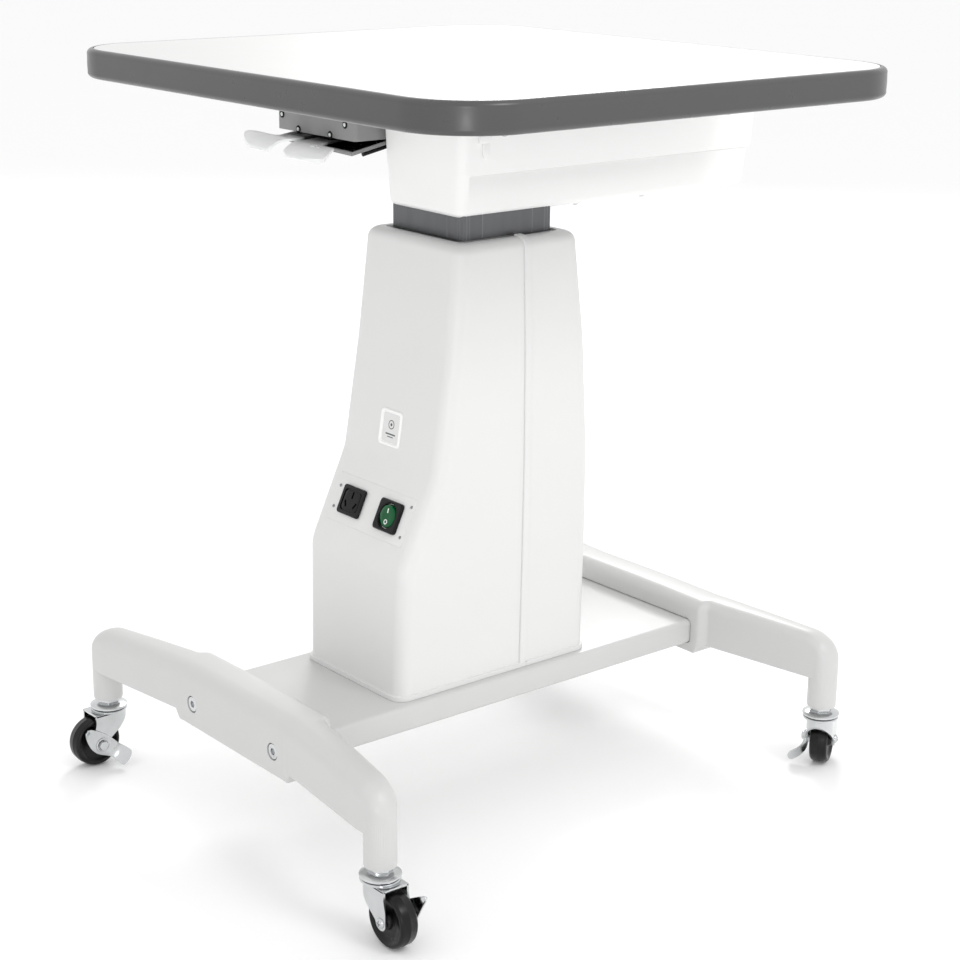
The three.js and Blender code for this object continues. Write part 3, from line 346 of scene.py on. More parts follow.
def loft(rings, caps=True, around=False):
    """A skin through rings of equally many points; around joins the last ring to the first."""
    solid = bmesh.new()
    made = [[solid.verts.new(point) for point in ring] for ring in rings]
    pairs = list(zip(made, made[1:]))
    if around:
        pairs.append((made[-1], made[0]))
    for low, high in pairs:
        for i in range(len(low)):
            j = (i + 1) % len(low)
            solid.faces.new((low[i], low[j], high[j], high[i]))
    if caps and not around:
        solid.faces.new(made[0][::-1])
        solid.faces.new(made[-1])
    return solid


def tidy(solid, edge=0.0, steps=2, angle=30.0):
    """Merges doubled points, turns faces outwards, and rounds edges sharper than angle by edge mm."""
    bmesh.ops.remove_doubles(solid, verts=solid.verts, dist=0.002)
    bmesh.ops.recalc_face_normals(solid, faces=solid.faces)
    if edge:
        sharp = [e for e in solid.edges if e.is_manifold and e.calc_face_angle(0.0) > math.radians(angle)]
        bmesh.ops.bevel(
            solid, geom=sharp, offset=edge, segments=steps, profile=0.5, affect="EDGES", clamp_overlap=True
        )
    return solid


def level(outline, z):
    return [(x, y, z) for x, y in outline]


def prism(outline, low, high, edge=0.0, steps=2):
    return tidy(loft([level(outline, low), level(outline, high)]), edge, steps)


def lathe(profile, turns=48, around=False):
    """Turns a profile of (radius, height) points about Z; around closes the profile on itself."""
    rings = []
    for radius, height in profile:
        angles = [2 * math.pi * i / turns for i in range(turns)]
        rings.append([(radius * math.cos(a), radius * math.sin(a), height) for a in angles])
    solid = loft(rings, caps=False, around=around)
    return tidy(solid)


def rounded(x0, x1, y0, y1, radius, steps=8):
    """A rounded rectangle, anticlockwise."""
    outline = []
    centres = ((x1 - radius, y0 + radius, -90), (x1 - radius, y1 - radius, 0))
    centres += ((x0 + radius, y1 - radius, 90), (x0 + radius, y0 + radius, 180))
    for cx, cy, start in centres:
        for i in range(steps + 1):
            a = math.radians(start + 90 * i / steps)
            outline.append((cx + radius * math.cos(a), cy + radius * math.sin(a)))
    return outline


def circle(radius, steps=32, start=0.0):
    angles = [start + 2 * math.pi * i / steps for i in range(steps)]
    return [(radius * math.cos(a), radius * math.sin(a)) for a in angles]


def pipe(outer, inner, low, high, steps=32):
    """A short pipe between two heights."""
    outside = [level(circle(outer, steps), z) for z in (low, high)]
    inside = [level(circle(inner, steps), z) for z in (high, low)]
    return tidy(loft(outside + inside, around=True))


def smooth_loop(points, steps=6):
    """A closed curve through points, by Catmull and Rom's rule."""
    count = len(points)
    curve = []
    for i in range(count):
        p0, p1, p2, p3 = (Vector(points[(i + k) % count]) for k in (-1, 0, 1, 2))
        for step in range(steps):
            t = step / steps
            a = 2 * p1
            b = (p2 - p0) * t
            c = (2 * p0 - 5 * p1 + 4 * p2 - p3) * t * t
            d = (3 * p1 - p0 - 3 * p2 + p3) * t**3
            curve.append(tuple((a + b + c + d) / 2))
    return curve


def placed(solid, matrix):
    bmesh.ops.transform(solid, matrix=matrix, verts=solid.verts)
    return solid


def shift(x=0.0, y=0.0, z=0.0):
    return Matrix.Translation((x, y, z))


def turn(degrees, axis):
    return Matrix.Rotation(math.radians(degrees), 4, axis)


def together(*solids):
    whole = bmesh.new()
    for solid in solids:
        mesh = bpy.data.meshes.new("joined")
        solid.to_mesh(mesh)
        solid.free()
        whole.from_mesh(mesh)
        bpy.data.meshes.remove(mesh)
    return whole


def carved(solid, tool, operation="DIFFERENCE"):
    """One solid cut by another, or joined to it."""
    pair = []
    for part in (solid, tool):
        mesh = bpy.data.meshes.new("carving")
        part.to_mesh(mesh)
        part.free()
        item = bpy.data.objects.new("carving", mesh)
        bpy.context.scene.collection.objects.link(item)
        pair.append(item)
    cutter = pair[0].modifiers.new("cut", "BOOLEAN")
    cutter.operation = operation
    cutter.solver = "EXACT"
    cutter.object = pair[1]
    graph = bpy.context.evaluated_depsgraph_get()
    result = bmesh.new()
    result.from_mesh(pair[0].evaluated_get(graph).data)
    for item in pair:
        mesh = item.data
        bpy.data.objects.remove(item)
        bpy.data.meshes.remove(mesh)
    return result


def piece(name, solid, material, body, stands_for=(), angle=35.0):
    """Makes an object in metres from a solid in millimetres, and lets it ride on a CAD body."""
    mesh = bpy.data.meshes.new(name)
    bmesh.ops.scale(solid, vec=(MM, MM, MM), verts=solid.verts)
    solid.to_mesh(mesh)
    solid.free()
    mesh.shade_smooth()
    mesh.set_sharp_from_angle(angle=math.radians(angle))
    mesh.materials.append(material)
    item = bpy.data.objects.new(name, mesh)
    bpy.context.scene.collection.objects.link(item)
    if stands_for:
        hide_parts(*stands_for)
    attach(item, body)
    return item


def recoat(material, *nodes):
    """Gives CAD nodes that keep their shape a new material."""
    for node in nodes:
        mesh = frame["nodes"][node].data
        mesh.materials.clear()
        mesh.materials.append(material)


def screw_head(radius, height):
    """A pan-head screw lying head up, with a cross cut in its top."""
    arc = [(radius * math.cos(a), height * math.sin(a)) for a in np.linspace(0, math.pi / 2, 6)]
    head = lathe([(0.0, -1.0), (radius, -1.0), *arc[:-1], (0.0, height)], 24)
    long, wide = radius * 0.6, radius * 0.13
    slot = prism(rounded(-long, long, -wide, wide, radius * 0.1, 2), height * 0.45, 9)
    for quarter in (0, 90):
        head = carved(head, placed(slot.copy(), turn(quarter, "Z")))
    slot.free()
    return head


# ---- Tabletop ----


class TABLE_OT_tabletop(bpy.types.Operator):
    """The laminate top, its edge moulding and the screws under it"""

    bl_idname = "table.tabletop"
    bl_label = "Tabletop"

    def execute(self, context):
        width = sizes().band_width
        low, high = BAND_LOW, BAND_HIGH
        corner = sizes().top_corner
        thick = high.z - low.z

        def ring(inset, z):
            sides = (low.x + inset, high.x - inset, low.y + inset, high.y - inset)
            return level(rounded(*sides, corner - inset, 20), z)

        # The moulding's section is a flat face, bowed very slightly, between two rounded edges.
        radius = width - 0.6
        section = []
        for a in np.linspace(0, math.pi / 2, 9):
            section.append((radius * (1 - math.sin(a)), low.z + radius * (1 - math.cos(a))))
        section[-1] = (0.25, section[-1][1])
        section.append((0.0, low.z + thick / 2))
        section += [(inset, low.z + high.z - z) for inset, z in section[-2::-1]]
        rings = [ring(inset, z) for inset, z in section]
        rings += [ring(width, high.z), ring(width, high.z - 2), ring(width, low.z + 2), ring(width, low.z)]
        band = tidy(loft(rings, around=True))
        piece("edge_moulding", band, edge_moulding(), "lift", ["edge_band"])
        slab = [ring(width + 0.4, low.z + 1), ring(width + 0.4, high.z - 0.7), ring(width + 1.1, high.z)]
        piece("laminate_top", tidy(loft(slab)), laminate(), "lift", ["tabletop"])
        first_screw, screw_pitch, screw_inset = -201.0, 121.0, 13.5
        for side, hand in HANDS:
            for i in range(4):
                place = shift(side * (high.x - screw_inset), first_screw + i * screw_pitch, low.z + 0.9)
                head = placed(screw_head(sizes().screw_head / 2, 2.8), place @ turn(180, "X"))
                piece(f"top_screw_{hand}_{i + 1}", head, chrome(), "lift")
        recoat(steel(), "support_plate")
        return {"FINISHED"}


# ---- Housing under the top ----


class TABLE_OT_housing(bpy.types.Operator):
    """The long white housing under the top: upper shell, lower pan, moulded tab and screws"""

    bl_idname = "table.housing"
    bl_label = "Housing"

    def execute(self, context):
        corner = 9.0
        seam = PAN_HIGH.z
        top = SHELL_HIGH.z

        def ring(side, front, rear, radius, z):
            return level(rounded(-side, side, front, rear, radius, 8), z)

        def front_ring(half, y, z, bend):
            depth = 10.5
            outline = rounded(-half, half, y, y + 4 * depth, bend, 8)
            return [(x, min(back, y + depth), z) for x, back in outline]

        foot = SHELL_HIGH.x - 4.4
        rear_foot = SHELL_HIGH.y - 4.6
        front_foot = SHELL_LOW.y + 2.3
        shell = [
            ring(foot - 2, front_foot + 2, rear_foot - 2, corner - 2, seam + 0.7),
            ring(foot, front_foot, rear_foot, corner, seam + 0.7),
            ring(foot + 0.4, front_foot - 0.3, rear_foot + 0.4, corner, seam + 4),
            ring(SHELL_HIGH.x, SHELL_LOW.y, SHELL_HIGH.y, corner + 3, top - 1.0),
            ring(SHELL_HIGH.x - 1, SHELL_LOW.y + 1, SHELL_HIGH.y - 1, corner + 2, top),
        ]
        shell = tidy(loft(shell))
        piece("housing_shell", shell, brightened_housing_plastic(), "lift", ["housing_upper"])
        side = PAN_HIGH.x
        front = SHELL_LOW.y + 2.6
        rear = PAN_HIGH.y
        bottom = PAN_LOW.z
        radius = 6.0
        pan = []
        for a in np.linspace(0, math.pi / 2, 6):
            inset = radius * (1 - math.sin(a))
            z = bottom + radius * (1 - math.cos(a))
            draft = 1.5 + inset
            pan.append(ring(side - draft, front + 0.6 + inset, rear - draft - 1, corner + 1 - inset * 0.6, z))
        pan.append(ring(side, front, rear, corner, seam - 1))
        pan.append(ring(side - 0.6, front + 0.6, rear - 0.6, corner, seam))
        pan.append(ring(side - 2.0, front + 2, rear - 2, corner, seam + 1))
        piece("housing_pan", tidy(loft(pan)), brightened_housing_plastic(), "lift", ["housing_lower"])
        # One flush front wall covers both mouldings, so the seam starts behind the corners.
        skin = 0.04
        wall = []
        for a in np.linspace(0, math.pi / 2, 6):
            inset = radius * (1 - math.sin(a))
            z = bottom + radius * (1 - math.cos(a))
            half = side - 1.5 - inset + skin
            wall.append(front_ring(half, front + 0.1 + inset, z - 0.02, min(corner, 6.4 + a * 1.6)))
        wall.append(front_ring(side + skin, front - 0.4, seam - 1, corner))
        wall.append(front_ring(foot + skin, front_foot - 0.4, seam + 0.8, corner))
        wall.append(front_ring(SHELL_HIGH.x + skin, SHELL_LOW.y - 0.3, top - 1.0, corner + 1))
        piece("housing_face", tidy(loft(wall)), brightened_housing_plastic(), "lift")
        screw_x = 46
        for direction, hand in HANDS:
            for i, y in enumerate((89.0, 175.5)):
                place = shift(direction * screw_x, y, bottom + 0.2) @ turn(180, "X")
                head = placed(screw_head(3.6, 2.2), place)
                piece(f"pan_screw_{hand}_{i + 1}", head, chrome(), "lift")
        # The tab is a flat moulded ear with a round drop-shaped boss below it.
        tab_y = -33
        upright = turn(90, "Z") @ turn(90, "X")
        drop = [(-3.5, 7), (3.5, 7), (3.6, 0), (2.4, -5.5), (0, -7.4), (-2.4, -5.5), (-3.6, 0)]
        drop = smooth_loop(drop, 5)
        tab = placed(prism(drop, 0, 2.2, 0.7), shift(SHELL_HIGH.x - 2.9, tab_y, 629) @ upright)
        piece("housing_tab", tab, brightened_housing_plastic(), "lift")
        ear = prism(rounded(-8, 5, -4, 3, 1, 2), 0, 1.6, 0.4)
        ear = placed(ear, shift(SHELL_HIGH.x - 2.2, tab_y, 640) @ upright)
        piece("housing_ear", ear, brightened_housing_plastic(), "lift")
        return {"FINISHED"}


# ---- Lifting tube ----


class TABLE_OT_lift_tube(bpy.types.Operator):
    """The anodised tube with its drawn grooves, and a black ring of painted shade in the gap round it"""

    bl_idname = "table.lift_tube"
    bl_label = "Lifting tube"

    def execute(self, context):
        half = TUBE_HALF
        # Each face has fine extrusion grooves near its edges, and a rounded corner.
        groove_half, groove_depth = 0.5, 0.45
        face = [(-half + 2.0, 0)]
        for x in (-half + 4.5, -half + 8.0, -30.0, 30.0, half - 8.0, half - 4.5):
            face += [(x - groove_half, 0), (x, groove_depth), (x + groove_half, 0)]
        face.append((half - 2.0, 0))
        outline = []
        for quarter in range(4):
            a = quarter * math.pi / 2
            corner = [(half - 0.55, 0.55)]
            for x, depth in face + corner:
                y = -half + depth
                outline.append((x * math.cos(a) - y * math.sin(a), x * math.sin(a) + y * math.cos(a)))
        wall = 4.0
        scale = (half - wall) / half
        inner = [(x * scale, y * scale) for x, y in outline]
        rings = [level(outline, TUBE_LOW.z), level(outline, TUBE_HIGH.z)]
        rings += [level(inner, TUBE_HIGH.z), level(inner, TUBE_LOW.z)]
        tube = tidy(loft(rings, around=True))
        piece("lift_tube", tube, anodised(), "lift", ["sliding_tube"], 12)
        top = COVER_HIGH.z
        mouth = half + 2.6
        outer = rounded(-mouth, mouth, -mouth, mouth, 3, 8)
        hole = rounded(-half - 0.6, half + 0.6, -half - 0.6, half + 0.6, 2, 8)
        # Painted shade: a black ring fills the gap between the cover's mouth and the tube.
        mouth_shade = [level(outer, top - 9), level(outer, top - 3), level(hole, top - 3), level(hole, top - 9)]
        piece("tube_mouth_shade", tidy(loft(mouth_shade, around=True)), dark_gap(), "base")
        return {"FINISHED"}


# ---- Column cover ----

COVER_BOTTOM = 126.2
KNEE_Z = 445.0
SLOPE_FOOT = Vector((0.0, -140.0, 250.0))
SLOPE_TOP = Vector((0.0, -100.0, 336.0))
SHOULDER_Z = 538.0
SHOULDER_IN = 10.0
SHOULDER_FLAT = 4.6  # level rim between the shoulder and the mouth
RIB_WIDTH = 7.6
PARTING_Y = 11.0
# Height, half width, front and rear of the cover's skin where its faces change direction.
COVER_PROFILE = (
    (COVER_BOTTOM, 75.0, 143.0, 91.0),
    (SLOPE_FOOT.z, 77.0, 140.0, 91.0),
    (SLOPE_TOP.z, 77.6, 100.0, 90.0),
    (KNEE_Z, 76.5, 83.0, 83.5),
    (SHOULDER_Z, 73.0, 74.0, 74.0),
)


def cover_at(z):
    """The cover's half width, front and rear at a height, with its edges softened."""
    heights, *faces = zip(*COVER_PROFILE)
    soft = sizes().cover_softness
    reach = np.linspace(-soft, soft, 9)
    reach = reach * min(1.0, (SHOULDER_Z - z) / soft, (z - heights[0]) / soft)
    return [float(np.mean(np.interp(z + reach, heights, face))) for face in faces]


def cover_stations():
    """Heights up the cover, then angles round its shoulder, then its rim: (height, angle, rim) triples."""
    steps = [COVER_BOTTOM, 130.4, 131.0]
    steps += list(np.arange(136.0, 236.0, 12.0)) + list(np.arange(236.0, 262.0, 1.5))
    steps += list(np.arange(264.0, 326.0, 8.0)) + list(np.arange(327.0, 346.0, 1.5))
    steps += list(np.arange(350.0, SHOULDER_Z, 8.0))
    stations = [(float(z), 0.0, 0.0) for z in steps]
    stations += [(SHOULDER_Z, float(a), 0.0) for a in np.linspace(0, math.pi / 2, 9)]
    return stations + [(SHOULDER_Z, math.pi / 2, SHOULDER_FLAT)]


def cover_ring(z, angle, rim, wall, front_half):
    """One closed C of a shell: its outer line, then its inner line back again."""
    side, front, rear = cover_at(z)
    height = COVER_HIGH.z - SHOULDER_Z
    proud = 2.0 if z < COVER_BOTTOM + 4.6 else 0.0  # the skirt at the cover's foot
    ring = []
    for inset, reverse in ((0.0, False), (wall, True)):
        draw = SHOULDER_IN * (1 - math.cos(angle)) + rim + inset * math.cos(angle) - (0 if inset else proud)
        top = z + height * math.sin(angle) - inset * math.sin(angle)
        depth = (front if front_half else rear) - draw
        radius = max(2.0, sizes().cover_corner - 0.5 * draw)
        x = side - draw
        line = [(x, 0.0)]
        for i in range(9):
            a = math.radians(90 * i / 8)
            line.append((x - radius + radius * math.cos(a), depth - radius + radius * math.sin(a)))
        line += [(-px, py) for px, py in line[::-1]]
        start = -PARTING_Y if front_half else PARTING_Y + 0.3
        points = [(px, (start if i in (0, len(line) - 1) else py), top) for i, (px, py) in enumerate(line)]
        if front_half:
            points = [(px, -py, pz) for px, py, pz in points]
        ring += points[::-1] if reverse else points
    return ring


def cover_rib(side):
    """The raised flange that runs up one side and over the shoulder."""
    proud = sizes().rib_proud
    rings = []
    edge = PARTING_Y - 0.1
    section = [(edge - RIB_WIDTH, -1.2), (edge - RIB_WIDTH, proud - 0.7), (edge - RIB_WIDTH + 0.7, proud)]
    section += [(edge - 0.7, proud), (edge, proud - 0.7), (edge, -1.2)]
    for z, angle, rim in cover_stations():
        half = cover_at(z)[0] - SHOULDER_IN * (1 - math.cos(angle)) - rim
        top = z + (COVER_HIGH.z - SHOULDER_Z) * math.sin(angle)
        ring = []
        for y, out in section:
            ring.append((side * (half + out * math.cos(angle)), y, top + out * math.sin(angle)))
        rings.append(ring)
    return tidy(loft(rings))


class TABLE_OT_cover(bpy.types.Operator):
    """The column's two white shells and the rib where they meet"""

    bl_idname = "table.cover"
    bl_label = "Column cover"

    def execute(self, context):
        for front_half, name in ((True, "cover_front"), (False, "cover_rear")):
            rings = [cover_ring(*station, 3.0, front_half) for station in cover_stations()]
            shell = tidy(loft(rings))
            piece(name + "_shell", shell, white_plastic(), "base", [name], 50)
        for side, hand in HANDS[::-1]:
            piece(f"cover_rib_{hand}", cover_rib(side), white_plastic(), "base")
        return {"FINISHED"}


# ---- Power panel and badge ----

PANEL_DOWN = 47.0
SOCKET_X = -27.0
SWITCH_X = 31.0
FACE = 0.8  # where the inserts' flanges start, above the slope


def face_matrix(low, high, down):
    """A frame on the cover's front: X across, Y up the face, Z out of it."""
    up = (high - low).normalized()
    angle = math.atan2(up.z, up.y)
    return Matrix.Translation(high - up * down) @ Matrix.Rotation(angle, 4, "X")


def power_matrix():
    return face_matrix(SLOPE_FOOT, SLOPE_TOP, PANEL_DOWN)


class TABLE_OT_power_panel(bpy.types.Operator):
    """The plate on the slope with its outlet, rocker switch and screws"""

    bl_idname = "table.power_panel"
    bl_label = "Power panel"

    def execute(self, context):
        at = power_matrix()
        plate = prism(rounded(-60, 60, -23.5, 23.5, 2.5), -1.0, 0.5, 0.35)
        piece("panel_plate", placed(plate, at), white_plastic(), "base", ["power_panel"])
        spots = ((-52.5, 10.5), (-52.5, -10.5), (56.5, 15.5), (55.0, -14.5))
        for i, (x, y) in enumerate(spots):
            head = placed(screw_head(1.6, 0.9), at @ shift(x, y, 0.6))
            piece(f"panel_screw_{i + 1}", head, steel(), "base")
        self.outlet(at)
        self.switch(at)
        return {"FINISHED"}

    def outlet(self, at):
        flange = prism(rounded(-17, 17, -14.2, 14.2, 3), FACE, FACE + 2.6, 0.9, 3)
        well = prism(rounded(-13.2, 13.2, -10.6, 10.6, 4), FACE + 1.3, 9)
        body = carved(flange, well)
        boss = prism(rounded(-12.2, 12.2, -9.6, 9.6, 4), FACE, FACE + 2.2, 0.4)
        body = carved(body, boss, "UNION")
        for x, y, angle in ((0.0, 5.6, 0), (-7.2, -3.6, 30), (7.2, -3.6, -30)):
            blade = prism(rounded(-1.1, 1.1, -3.4, 3.4, 0.4, 2), -9, 9)
            body = carved(body, placed(blade, shift(x, y) @ turn(angle, "Z")))
        piece(
            "outlet", placed(tidy(body), at @ shift(SOCKET_X)), black_plastic(), "base", ["mains_socket"],
        )
        back = placed(prism(rounded(-13, 13, -10, 10, 2), -14, FACE - 0.2), at @ shift(SOCKET_X))
        piece("outlet_back", back, black_plastic(), "base")

    def switch(self, at):
        turns = 48
        bore = 12.0
        box = rounded(-16.5, 16.5, -15, 15, 3.5, 11)
        start = -math.pi / 2 + math.pi / turns
        edge = rounded(-15.5, 15.5, -14.0, 14.0, 3, 11)
        rings = [level(box, FACE), level(box, FACE + 2.6), level(edge, FACE + 3.5)]
        for wider, z in ((1.2, FACE + 3.5), (0.2, FACE + 2.4), (0.0, -10.0), (1.0, -10.0)):
            rings.append(level(circle(bore + wider, turns, start), z))
        ring = placed(tidy(loft(rings, around=True)), at @ shift(SWITCH_X))
        piece("switch_bezel", ring, black_plastic(), "base", ["switch_frame"])
        pivot = Vector(JOINTS["rocker_tilt"]["pos_m"]) / MM
        tilt = Matrix.Translation(pivot) @ at.to_3x3().to_4x4() @ turn(7, "X")
        radius = 11.4
        sphere = [(radius * math.cos(a), radius * math.sin(a)) for a in np.linspace(-0.7, 0.33, 12)]
        lens = lathe([(0.0, -7.3), *sphere, (radius * 0.86, 4.6), (radius * 0.5, 4.2), (0.0, 4.1)], 48)
        piece("rocker_lens", placed(lens, tilt), green_lens(), "rocker", ["rocker"], 50)
        bar = placed(prism(rounded(-0.6, 0.6, -2.2, 2.2, 0.3, 2), 3.9, 4.6, 0.1), tilt @ shift(0, 5.4))
        piece("rocker_mark_on", bar, marking(), "rocker")
        ring = placed(pipe(2.4, 1.6, 3.9, 4.6), tilt @ shift(0, -5.4))
        piece("rocker_mark_off", ring, marking(), "rocker")


BADGE_Z = 368.0


class TABLE_OT_badge(bpy.types.Operator):
    """The small nameplate above the slope, with a plain round emblem"""

    bl_idname = "table.badge"
    bl_label = "Badge"

    def execute(self, context):
        high = Vector((0.0, -cover_at(KNEE_Z)[1], KNEE_Z))
        reach = (high - SLOPE_TOP).length * (KNEE_Z - BADGE_Z) / (KNEE_Z - SLOPE_TOP.z)
        at = face_matrix(SLOPE_TOP, high, reach)
        edge = rounded(-16, 16, -17.2, 17.2, 4.0, 8)
        inner = rounded(-12.6, 12.6, -13.8, 13.8, 2.4, 8)
        lip = rounded(-13.8, 13.8, -15.0, 15.0, 3.0, 8)
        rim = rounded(-15.2, 15.2, -16.4, 16.4, 3.6, 8)
        section = ((edge, -1.4), (edge, 0.9), (rim, 1.7), (lip, 1.6), (inner, 0.1), (inner, -1.4))
        rings = [level(outline, z) for outline, z in section]
        bezel = placed(tidy(loft(rings, around=True)), at)
        piece("badge_bezel", bezel, brightened_housing_plastic(), "base", ["badge_plate"])
        ink = (-0.3, 0.0)
        plate = prism(inner, -1.4, -0.2, 0.1)
        piece("badge_face", placed(plate, at), badge_face(), "base")
        emblem = together(pipe(4.4, 3.5, *ink, 40), prism(circle(1.5, 24), *ink))
        piece("badge_emblem", placed(emblem, at @ shift(0, 3.2)), grey_ink(), "base")
        stripe = together(
            prism(rounded(-7.5, 7.5, -0.7, 0.7, 0.6, 3), *ink),
            placed(prism(rounded(-4.5, 4.5, -0.45, 0.45, 0.4, 3), *ink), shift(0, -2.6)),
        )
        piece("badge_stripes", placed(stripe, at @ shift(0, -6.0)), grey_ink(), "base")
        return {"FINISHED"}


# ---- Base ----

POST_X = 230.0
POST_RADIUS = 14.5
BLOCK_END = 97.0
BLOCK_DEPTH = 45.0
ARM_DEPTH = 37.0
ARM_BOTTOM = 99.5
BLOCK_BOTTOM = 90.0
BOLT_X = 68.0
BOLT_Z = 113.2
FRONT_FOOT_Y = -280.0
REAR_FOOT_Y = 273.0
FALL = 18.0  # how far before the post the foot's top starts to fall


def ease(t):
    t = clamp(t)
    return t * t * (3 - 2 * t)


def foot_section(x):
    """A foot's section at x, from its outer lower edge round: y grows towards the column."""
    reach = abs(x)
    beyond = max(0.0, reach - POST_X)
    swept = clamp((reach - BLOCK_END + 12) / (POST_X - 3 - BLOCK_END))
    round_end = math.sqrt(max(0.0, POST_RADIUS**2 - beyond**2))
    outer = -round_end if beyond else -POST_RADIUS * swept
    narrowing = clamp((reach - BLOCK_END - 6) / (POST_X - 6 - BLOCK_END))
    inner = ARM_DEPTH + (POST_RADIUS - ARM_DEPTH) * narrowing
    block = 1 - ease((reach - BLOCK_END + 2) / 9)
    inner = inner + (BLOCK_DEPTH - inner) * block
    if beyond:
        inner = round_end
    # The top stays level, then falls as a quarter ellipse into the post.
    fall = clamp((reach - (POST_X - FALL)) / (POST_RADIUS + FALL))
    top = FOOT_HIGH.z - 5.0 * clamp(reach / 215) ** 2 - 32 * (1 - math.sqrt(1 - fall**2))
    drop = 1 - ease((reach - BLOCK_END + 7) / 7)
    bottom = ARM_BOTTOM - (ARM_BOTTOM - BLOCK_BOTTOM) * drop
    width = inner - outer
    crown = min(sizes().foot_crown, width * 0.5, top - bottom - 1)
    heel = min(11.0, width * 0.45, top - bottom - 1)
    toe = min(2.5, width * 0.2) * (1 - swept) + 0.05
    points = []
    corners = (
        (outer + toe, bottom + toe, toe, 180),
        (inner - toe, bottom + toe, toe, 270),
        (inner - heel, top - heel, heel, 0),
        (outer + crown, top - crown, crown, 90),
    )
    for cy, cz, radius, start in corners:
        for i in range(7):
            a = math.radians(start + 15 * i)
            points.append((x, cy + radius * math.cos(a), cz + radius * math.sin(a)))
    return points


def foot_stations():
    right = [0, 20, 40, 55, 70, 80]
    right += list(np.arange(84, 110, 1.5)) + list(np.arange(112, 196, 8)) + list(np.arange(196, 228, 4))
    right += [POST_X + POST_RADIUS * math.sin(a) for a in np.linspace(0, math.pi / 2 - 0.1, 13)]
    return [-float(x) for x in right[:0:-1]] + [float(x) for x in right]


class TABLE_OT_base(bpy.types.Operator):
    """The two cast feet, the beam between them and their bolts"""

    bl_idname = "table.base"
    bl_label = "Base"

    def execute(self, context):
        post_low = FOOT_LOW.z
        ends = (("front", FRONT_FOOT_Y, 0.0), ("rear", REAR_FOOT_Y, 180.0))
        for place, y, angle in ends:
            foot = tidy(loft([foot_section(x) for x in foot_stations()]))
            for side in (-1, 1):
                edge = [(0.0, post_low), (POST_RADIUS - 1.2, post_low), (POST_RADIUS - 0.3, post_low + 0.5)]
                edge += [(POST_RADIUS, post_low + 1.4), (POST_RADIUS, ARM_BOTTOM + 0.5)]
                edge += [(POST_RADIUS - 1, ARM_BOTTOM + 2), (0.0, ARM_BOTTOM + 2)]
                post = lathe(edge, 64)
                foot = carved(foot, placed(post, shift(side * POST_X)), "UNION")
                hole = lathe([(0.0, -3.0), (8.3, -3.0), (8.3, 4.2), (0.0, 4.2)], 40)
                foot = carved(foot, placed(hole, shift(side * BOLT_X, 0, BOLT_Z) @ turn(-90, "X")))
            half = BEAM_HIGH.x + 0.8
            pocket = prism(rounded(-half, half, BEAM_LOW.z - 0.8, BEAM_HIGH.z + 0.8, 5.5), 0, 40)
            pocket = placed(pocket, shift(0, 52, 0) @ turn(90, "X"))
            foot = carved(foot, pocket)
            at = shift(0, y) @ turn(angle, "Z")
            piece(f"{place}_casting", placed(foot, at), enamel(), "base", [f"{place}_foot"], 38)
            for side in (-1, 1):
                hand = "right" if side * math.cos(math.radians(angle)) > 0 else "left"
                name = f"foot_bolt_{place}_{hand}"
                hex_hole = lathe([(0.0, -0.2), (3.6, -0.2), (3.6, 3.1), (0.0, 3.1)], 6)
                cone = [(0.0, 6.0), (4.0, 6.0), (4.0, 4.0), (7.0, 1.6), (7.3, 1.1), (7.0, 0.7), (0.0, 0.5)]
                head = carved(lathe(cone, 32), hex_hole)
                head = placed(head, at @ shift(side * BOLT_X, 0, BOLT_Z) @ turn(-90, "X"))
                piece(name + "_head", head, chrome(), "base", [name])
        outline = rounded(BEAM_LOW.x, BEAM_HIGH.x, BEAM_LOW.z, BEAM_HIGH.z, 4.5, 6)
        beam = prism(outline, -BEAM_HIGH.y, -BEAM_LOW.y)
        piece("beam", placed(beam, turn(90, "X")), enamel(), "base", ["base_beam"])
        return {"FINISHED"}


# ---- Casters ----


def caster_matrix(place):
    """The caster's own frame: X the way it trails, Y along its axle, Z up, standing on the floor."""
    pivot = Vector(JOINTS[f"swivel_{place}"]["pos_m"]) / MM
    hub = Vector(JOINTS[f"roll_{place}"]["pos_m"]) / MM
    trail = hub - pivot
    angle = math.atan2(trail.y, trail.x)
    return Matrix.Translation((pivot.x, pivot.y, 0)) @ Matrix.Rotation(angle, 4, "Z")


TRAIL = 18.0
HUB_Z = 25.0
FORK_OUT = 13.5
FORK_FRONT = 17.5
FORK_EYE = 7.0
CROWN_LOW = 53.0
CROWN_HIGH = 55.2


def fork_edge(x):
    """The fork cheek's lower edge at a place along the trail."""
    if x > TRAIL - FORK_EYE:
        return HUB_Z - math.sqrt(max(0.0, FORK_EYE**2 - min(FORK_EYE, abs(x - TRAIL)) ** 2))
    share = clamp((x + FORK_FRONT) / (TRAIL - FORK_EYE + FORK_FRONT))
    return CROWN_LOW - 3 - (CROWN_LOW - 3 - HUB_Z) * share**0.85


def fork_plan(t, out):
    """A point on the fork's plan outline: t runs from the trailing edge, round the front, and back."""
    flat = 0.36
    if t < flat or t > 1 - flat:
        s = (t if t < flat else 1 - t) / flat
        x = 24.6 * (1 - s)
        return x, (1 if t < flat else -1) * out
    a = math.pi / 2 + math.pi * (t - flat) / (1 - 2 * flat)
    return (FORK_FRONT - FORK_OUT + out) * math.cos(a), out * math.sin(a)


